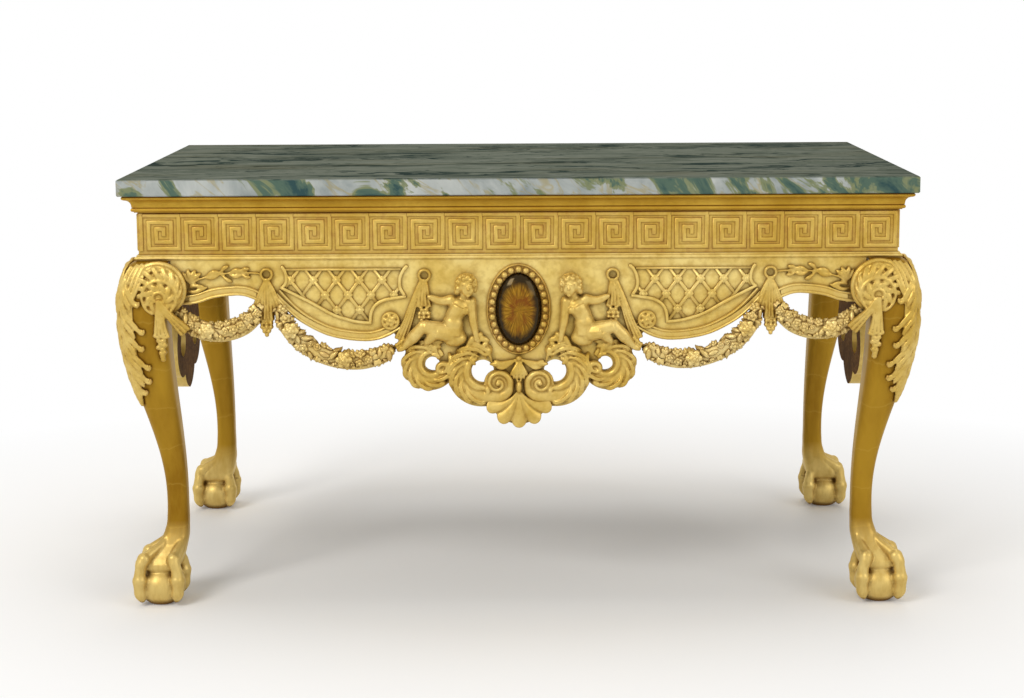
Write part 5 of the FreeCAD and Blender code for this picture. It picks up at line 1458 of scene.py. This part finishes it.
def flower_stamp(name, radius, high, petals=5):
    """An open flower of a few round petals about a button, looking up."""
    rings = ((0.0, 1.0), (0.24, 0.95), (0.36, 0.5), (0.5, 0.6), (0.8, 0.86), (1.0, 0.5), (0.9, -0.5))
    sides = petals * 4
    points = []
    for number, (reach, up) in enumerate(rings):
        for step in range(sides):
            angle = 2 * math.pi * step / sides
            lobe = 0.5 + 0.5 * math.cos(petals * angle) if number > 2 else 1.0
            out = radius * reach * (0.72 + 0.28 * lobe)
            points.append((out * math.cos(angle), out * math.sin(angle), high * up * (0.6 + 0.4 * lobe)))
    return stamp(name, points, ring_quads(len(rings), sides)[:, ::-1].tolist())


def leaf_stamp():
    """A pointed leaf with a raised rib."""
    long, wide, high = SWAG_LEAF
    rings = []
    for share, spread in ((-0.6, 0.2), (-0.2, 0.85), (0.25, 1.0), (0.7, 0.6), (1.0, 0.06)):
        along, half = long * share, wide * spread
        lift = high * (1 + 0.5 * max(share, 0))
        rings.append([(along, -half, lift * 0.6), (along, 0, lift * 1.25), (along, half, lift * 0.6),
                      (along, 0, -lift)])
    return stamp("leaf", *loft(rings))


ROSE_RINGS = [
    # reach, petals, size of a petal, rise
    (0.7, 6, 0.35, 0), (0.4, 5, 0.24, 4), (0.13, 3, 0.16, 8),
]


def big_rose(clay, middle, radius):
    """A full rose with three rings of petals."""
    u, w, z = middle
    for ring, (reach, count, size, rise) in enumerate(ROSE_RINGS):
        for number in range(count):
            angle = 2 * math.pi * (number + ring * 0.5) / count
            clay.ball((u + radius * reach * math.cos(angle), w + rise, z + radius * reach * math.sin(angle)),
                      (radius * size * 0.9, 4.6, radius * size), math.degrees(angle), 8, 12)
    clay.ball((u, w - 4, z), (radius * 0.75, 5, radius * 0.75), 0, 8, 14)


def swag_parts(kind, seed):
    """Core, flowers and roses of one garland."""
    middle, radius, degrees = SWAGS[kind]
    path = on_face(spiral(middle, (radius, radius), degrees, SWAG_STEPS), SWAG_LIFT)
    fullness = np.sin(np.linspace(0.12, np.pi - 0.12, SWAG_STEPS)) ** 0.7
    core = SWAG_TIP + (SWAG_CORE - SWAG_TIP) * fullness
    tube = Clay()
    tube.rod(path, core, core * 0.9, sides=14)
    flower, bud, leaf = flower_stamp("flower", 10, 8), flower_stamp("bud", 7.4, 8, 4), leaf_stamp()
    base = mesh_of(np.concatenate(tube.points), np.concatenate(tube.faces)[:, ::-1].tolist())
    bloom = mesh_parts(GARLAND.make(
        base, gilt_carving, Flower=flower, Bud=bud, Leaf=leaf, Spacing=FLOWER_SPACING * MM, Seed=seed))
    put_away(flower, bud, leaf)
    roses = Clay()
    for share in SWAG_ROSES[kind]:
        spot = path[int(share * (SWAG_STEPS - 1))]
        big_rose(roses, (spot[0], SWAG_LIFT + SWAG_CORE + 3, spot[2] + 2), ROSE_RADIUS)
    below = radius + SWAG_CORE
    edge = spiral(middle, (below, below), (degrees[0] - 6, degrees[1] + 6), 30)
    roses.rod(on_face(edge, SWAG_LIFT - 3), along_piece(30, (0, 3), (0.2, 6.5), (0.8, 6.5), (1, 3)),
              along_piece(30, (0, 5), (0.5, 9), (1, 5)))
    return together([bloom, carve(roses, LEAF_CUT)])


# Camera, floor and light

def set_camera():
    lens = bpy.data.cameras.new("camera")
    lens.lens = CAMERA_LENS
    lens.sensor_width = 36
    lens.shift_x, lens.shift_y = CAMERA_SHIFT
    lens.clip_end = 100
    camera = bpy.data.objects.new("camera", lens)
    tilt = Matrix.Rotation(math.radians(90 - CAMERA_PITCH), 4, "X")
    roll = Matrix.Rotation(math.radians(-CAMERA_ROLL), 4, "Z")
    camera.matrix_world = Matrix.Translation(CAMERA_PLACE) @ tilt @ roll
    bpy.context.collection.objects.link(camera)
    bpy.context.scene.camera = camera


def lay_floor():
    """Pale floor that fades to plain white away from the table and keeps its shadow near it."""
    half = 30.0
    sheet = bpy.data.meshes.new("floor")
    corners = [(-half, -half, 0), (half, -half, 0), (half, half, 0), (-half, half, 0)]
    sheet.from_pydata(corners, [], [(0, 1, 2, 3)])
    floor = bpy.data.objects.new("floor", sheet)
    bpy.context.collection.objects.link(floor)
    shader = Shader("pale_floor")
    cloud = shader.noise(shader.coordinates(), 1.2, 3)
    colour = shader.ramp(cloud, [(0.3, (0.935, 0.935, 0.93)), (0.7, (0.95, 0.95, 0.945))])
    paper = shader.surface(base_color=colour, roughness=0.9, specular_ior_level=0.0)
    around = shader.coordinates(scale=(0.30, 0.42, 1))
    away = shader.add("ShaderNodeVectorMath", {0: around}, operation="LENGTH").outputs["Value"]
    fade = shader.math("MULTIPLY", shader.ramp(away, [(0.22, 0.0), (0.62, 1.0)]), shader.seen())
    white = shader.add("ShaderNodeEmission", {"Color": (1, 1, 1, 1), "Strength": 1.0}).outputs[0]
    shown = shader.add("ShaderNodeMixShader", {"Fac": fade, 1: paper, 2: white}).outputs[0]
    shader.add("ShaderNodeOutputMaterial", {"Surface": shown})
    sheet.materials.append(shader.material)


ROOM_COLOUR, ROOM_STRENGTH = (1.0, 0.985, 0.96, 1), 0.44
LAMP_COLOUR, LAMP_AIM = (1.0, 0.98, 0.95), (0, 0, 0.55)
LAMPS = {
    # place in metres, size, power
    "key": ((-2.6, -3.4, 3.6), 1.9, 108), "fill": ((3.4, -3.0, 2.4), 2.4, 40),
    "top": ((0, 0.6, 4.2), 3.0, 56), "back": ((0.5, 4.0, 2.8), 2.6, 40),
}


def set_light():
    """White studio: an even surround, and four soft lamps."""
    scene = bpy.context.scene
    scene.view_settings.view_transform = "Standard"
    scene.world = bpy.data.worlds.new("studio")
    scene.world.use_nodes = True
    scene.world.node_tree.nodes.clear()
    room = Shader("studio", scene.world.node_tree)
    around = room.add("ShaderNodeBackground", {"Color": ROOM_COLOUR, "Strength": ROOM_STRENGTH}).outputs[0]
    white = room.add("ShaderNodeBackground", {"Color": (1, 1, 1, 1), "Strength": 1.0}).outputs[0]
    shown = room.add("ShaderNodeMixShader", {"Fac": room.seen(), 1: around, 2: white}).outputs[0]
    room.add("ShaderNodeOutputWorld", {"Surface": shown})
    for name, (place, size, power) in LAMPS.items():
        light = bpy.data.lights.new(name, "AREA")
        light.size = size
        light.energy = power
        light.color = LAMP_COLOUR
        lamp = bpy.data.objects.new(name, light)
        aim = Vector(LAMP_AIM) - Vector(place)
        lamp.matrix_world = Matrix.Translation(place) @ aim.to_track_quat("-Z", "Y").to_matrix().to_4x4()
        bpy.context.collection.objects.link(lamp)


# Building the sides

HOLES = [
    # middle, radius, middle as carved, how much wider as carved
    ((166, 480), 11.25, (167, 480), 1.25), ((70, 468), 18, (70, 466), 1.2),
]
HOLE_ROOM, APRON_THICK, BACK_FLARE = 0.6, 30, 0.3


def both_halves(parts, side):
    """A half and its mirror image on a side, as one."""
    points, faces = parts
    return together([(on_side(points, side), faces), (on_side(points, side, -1), faces)])


def make_aprons():
    """Apron boards as the frame has them, gilded outside and bare inside, with carved edge mouldings."""
    for side in SIDES:
        name = f"apron_{side}"
        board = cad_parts[name].data.copy()
        skin = bmesh.new()
        skin.from_mesh(board)
        bmesh.ops.remove_doubles(skin, verts=skin.verts, dist=NODE_WELD)
        ease_holes(skin, side in LONG_SIDES)
        skin.to_mesh(board)
        skin.free()
        piece = hand_in(f"gilt_{name}", board, gilt_flat, name, smooth=False)
        show_back(piece, side)
        edges = both_halves(apron_edges(side in LONG_SIDES), side)
        crease(make_piece(f"apron_edge_{side}", *edges, gilt_flat))


def ease_holes(skin, long_side):
    """Round the piercings out to the leaves about them, wider towards the back."""
    for corner in skin.verts:
        x, y, z = corner.co / MM
        along, out, half = (x, y, HALF_Y) if long_side else (y, x, HALF_X)
        depth = max(half - abs(out), 0.0)
        for middle, radius, carved_middle, wider in HOLES:
            offset = np.array((abs(along) - middle[0], z - middle[1]))
            if np.linalg.norm(offset) > radius + HOLE_ROOM:
                continue
            flare = 1 + BACK_FLARE * min(depth / APRON_THICK, 1.0)
            eased, level = carved_middle + offset * wider * flare
            eased = math.copysign(eased, along)
            corner.co = Vector((eased, y, level) if long_side else (x, eased, level)) * MM


def four_copies(kind, parts, finish, node):
    """A piece for each half of both long sides."""
    points, faces = parts
    for side in LONG_SIDES:
        for hand_name, hand in HANDS.items():
            if side == "back":
                hand = -hand
            place = f"{side}_{hand_name}"
            make_piece(f"{kind}_{place}", on_side(points, side, hand), faces, finish, f"{node}_{place}")


def make_long_sides():
    """Scrolls, figures, cloths, trellis, garlands, oval and shell of the front and the back."""
    scrolls = Clay()
    outer_scroll(scrolls)
    inner_scroll(scrolls)
    four_copies("leaf_scrolls", carve(scrolls, LEAF_CUT), gilt_carving, "scrolls")
    body = Clay()
    figure(body)
    four_copies("seated_figure", carve(body, FIGURE_CUT), gilt_figure, "figure")
    cloths = Clay()
    side_falls = [((506, 584), (494, 622)), ((458, 580), (472, 620))]
    ring_cloth(cloths, (TASSEL_PLACE[True], RING_LEVEL), 86, side_falls, (3, 3, 2, 1))
    ring_cloth(cloths, (181, RING_LEVEL - 3), 58, [], (2, 3, 3, 2))
    side_cloth(cloths)
    husk_branch(cloths)
    flower_disc(cloths, DISC, 18)
    four_copies("hung_cloth", carve(cloths, LEAF_CUT), gilt_carving, "drapery")
    four_copies("trellis_panel", trellis_parts(), gilt_flat, "trellis")
    swags = together([swag_parts("outer", 3), swag_parts("inner", 8)])
    four_copies("flower_garland", swags, gilt_garland, "garland")
    middle = Clay()
    for hand in (1, -1):
        oval_leaves(middle, hand)
    middle.ball((0, 6, 491), (6, 6, 6))
    shell(middle, SHELL_KNOB, SHELL_TIP)
    pendant, pendant_faces = carve(middle, SHELL_CUT)
    oval, oval_faces = oval_parts()
    for side in LONG_SIDES:
        make_piece(f"shell_{side}", on_side(pendant, side), pendant_faces, gilt_carving,
                   f"shell_pendant_{side}")
        beaded = make_piece(f"beaded_oval_{side}", on_side(oval, side), oval_faces, gilt_beads,
                            f"oval_frame_{side}")
        crease(beaded, 50)


FAN_LEAVES = [
    # tip, bend, width
    ((92, 560), (60, 548), 9), ((84, 606), (56, 580), 10), ((50, 640), (40, 600), 10),
]


def make_short_sides():
    """Festoons and the pendant with its fan of leaves on both ends."""
    festoon = Clay()
    ring_cloth(festoon, (TASSEL_PLACE[False], RING_LEVEL), 80, [((160, 588), (150, 622))], (3, 3, 2, 1))
    half_festoon = together([swag_parts("end", 5), carve(festoon, END_CUT)])
    crest = Clay()
    inner_scroll(crest)
    half_crest = carve(crest, END_CUT)
    middle = Clay()
    for hand in (1, -1):
        oval_leaves(middle, hand)
        for tip, bend, wide in FAN_LEAVES:
            leaf = [(hand * 12, 512), (hand * bend[0], bend[1]), (hand * tip[0], tip[1])]
            middle.petal(leaf, wide, 9, 0.4, 14, 14, (4, 6))
    middle.petal([(0, 512), (0, 580), (0, 652)], 11, 10, 0.4, 14, 14, (5, 6))
    middle.ball((0, 8, 506), (16, 10, 14))
    shell(middle, SHELL_KNOB, SHELL_TIP)
    fan, fan_faces = carve(middle, END_CUT)
    for side in ("right", "left"):
        make_piece(f"end_festoon_{side}", *both_halves(half_festoon, side), gilt_carving, f"festoon_{side}")
        points, faces = together([both_halves(half_crest, side), (on_side(fan, side), fan_faces)])
        make_piece(f"end_pendant_{side}", points, faces, gilt_carving, f"pendant_{side}")


REPEAT = repeat_recipe()
GARLAND = garland_recipe()

dress_nodes()
set_camera()
lay_floor()
set_light()
make_box_frame()
make_legs()
make_knee_carvings()
make_aprons()
make_long_sides()
make_short_sides()
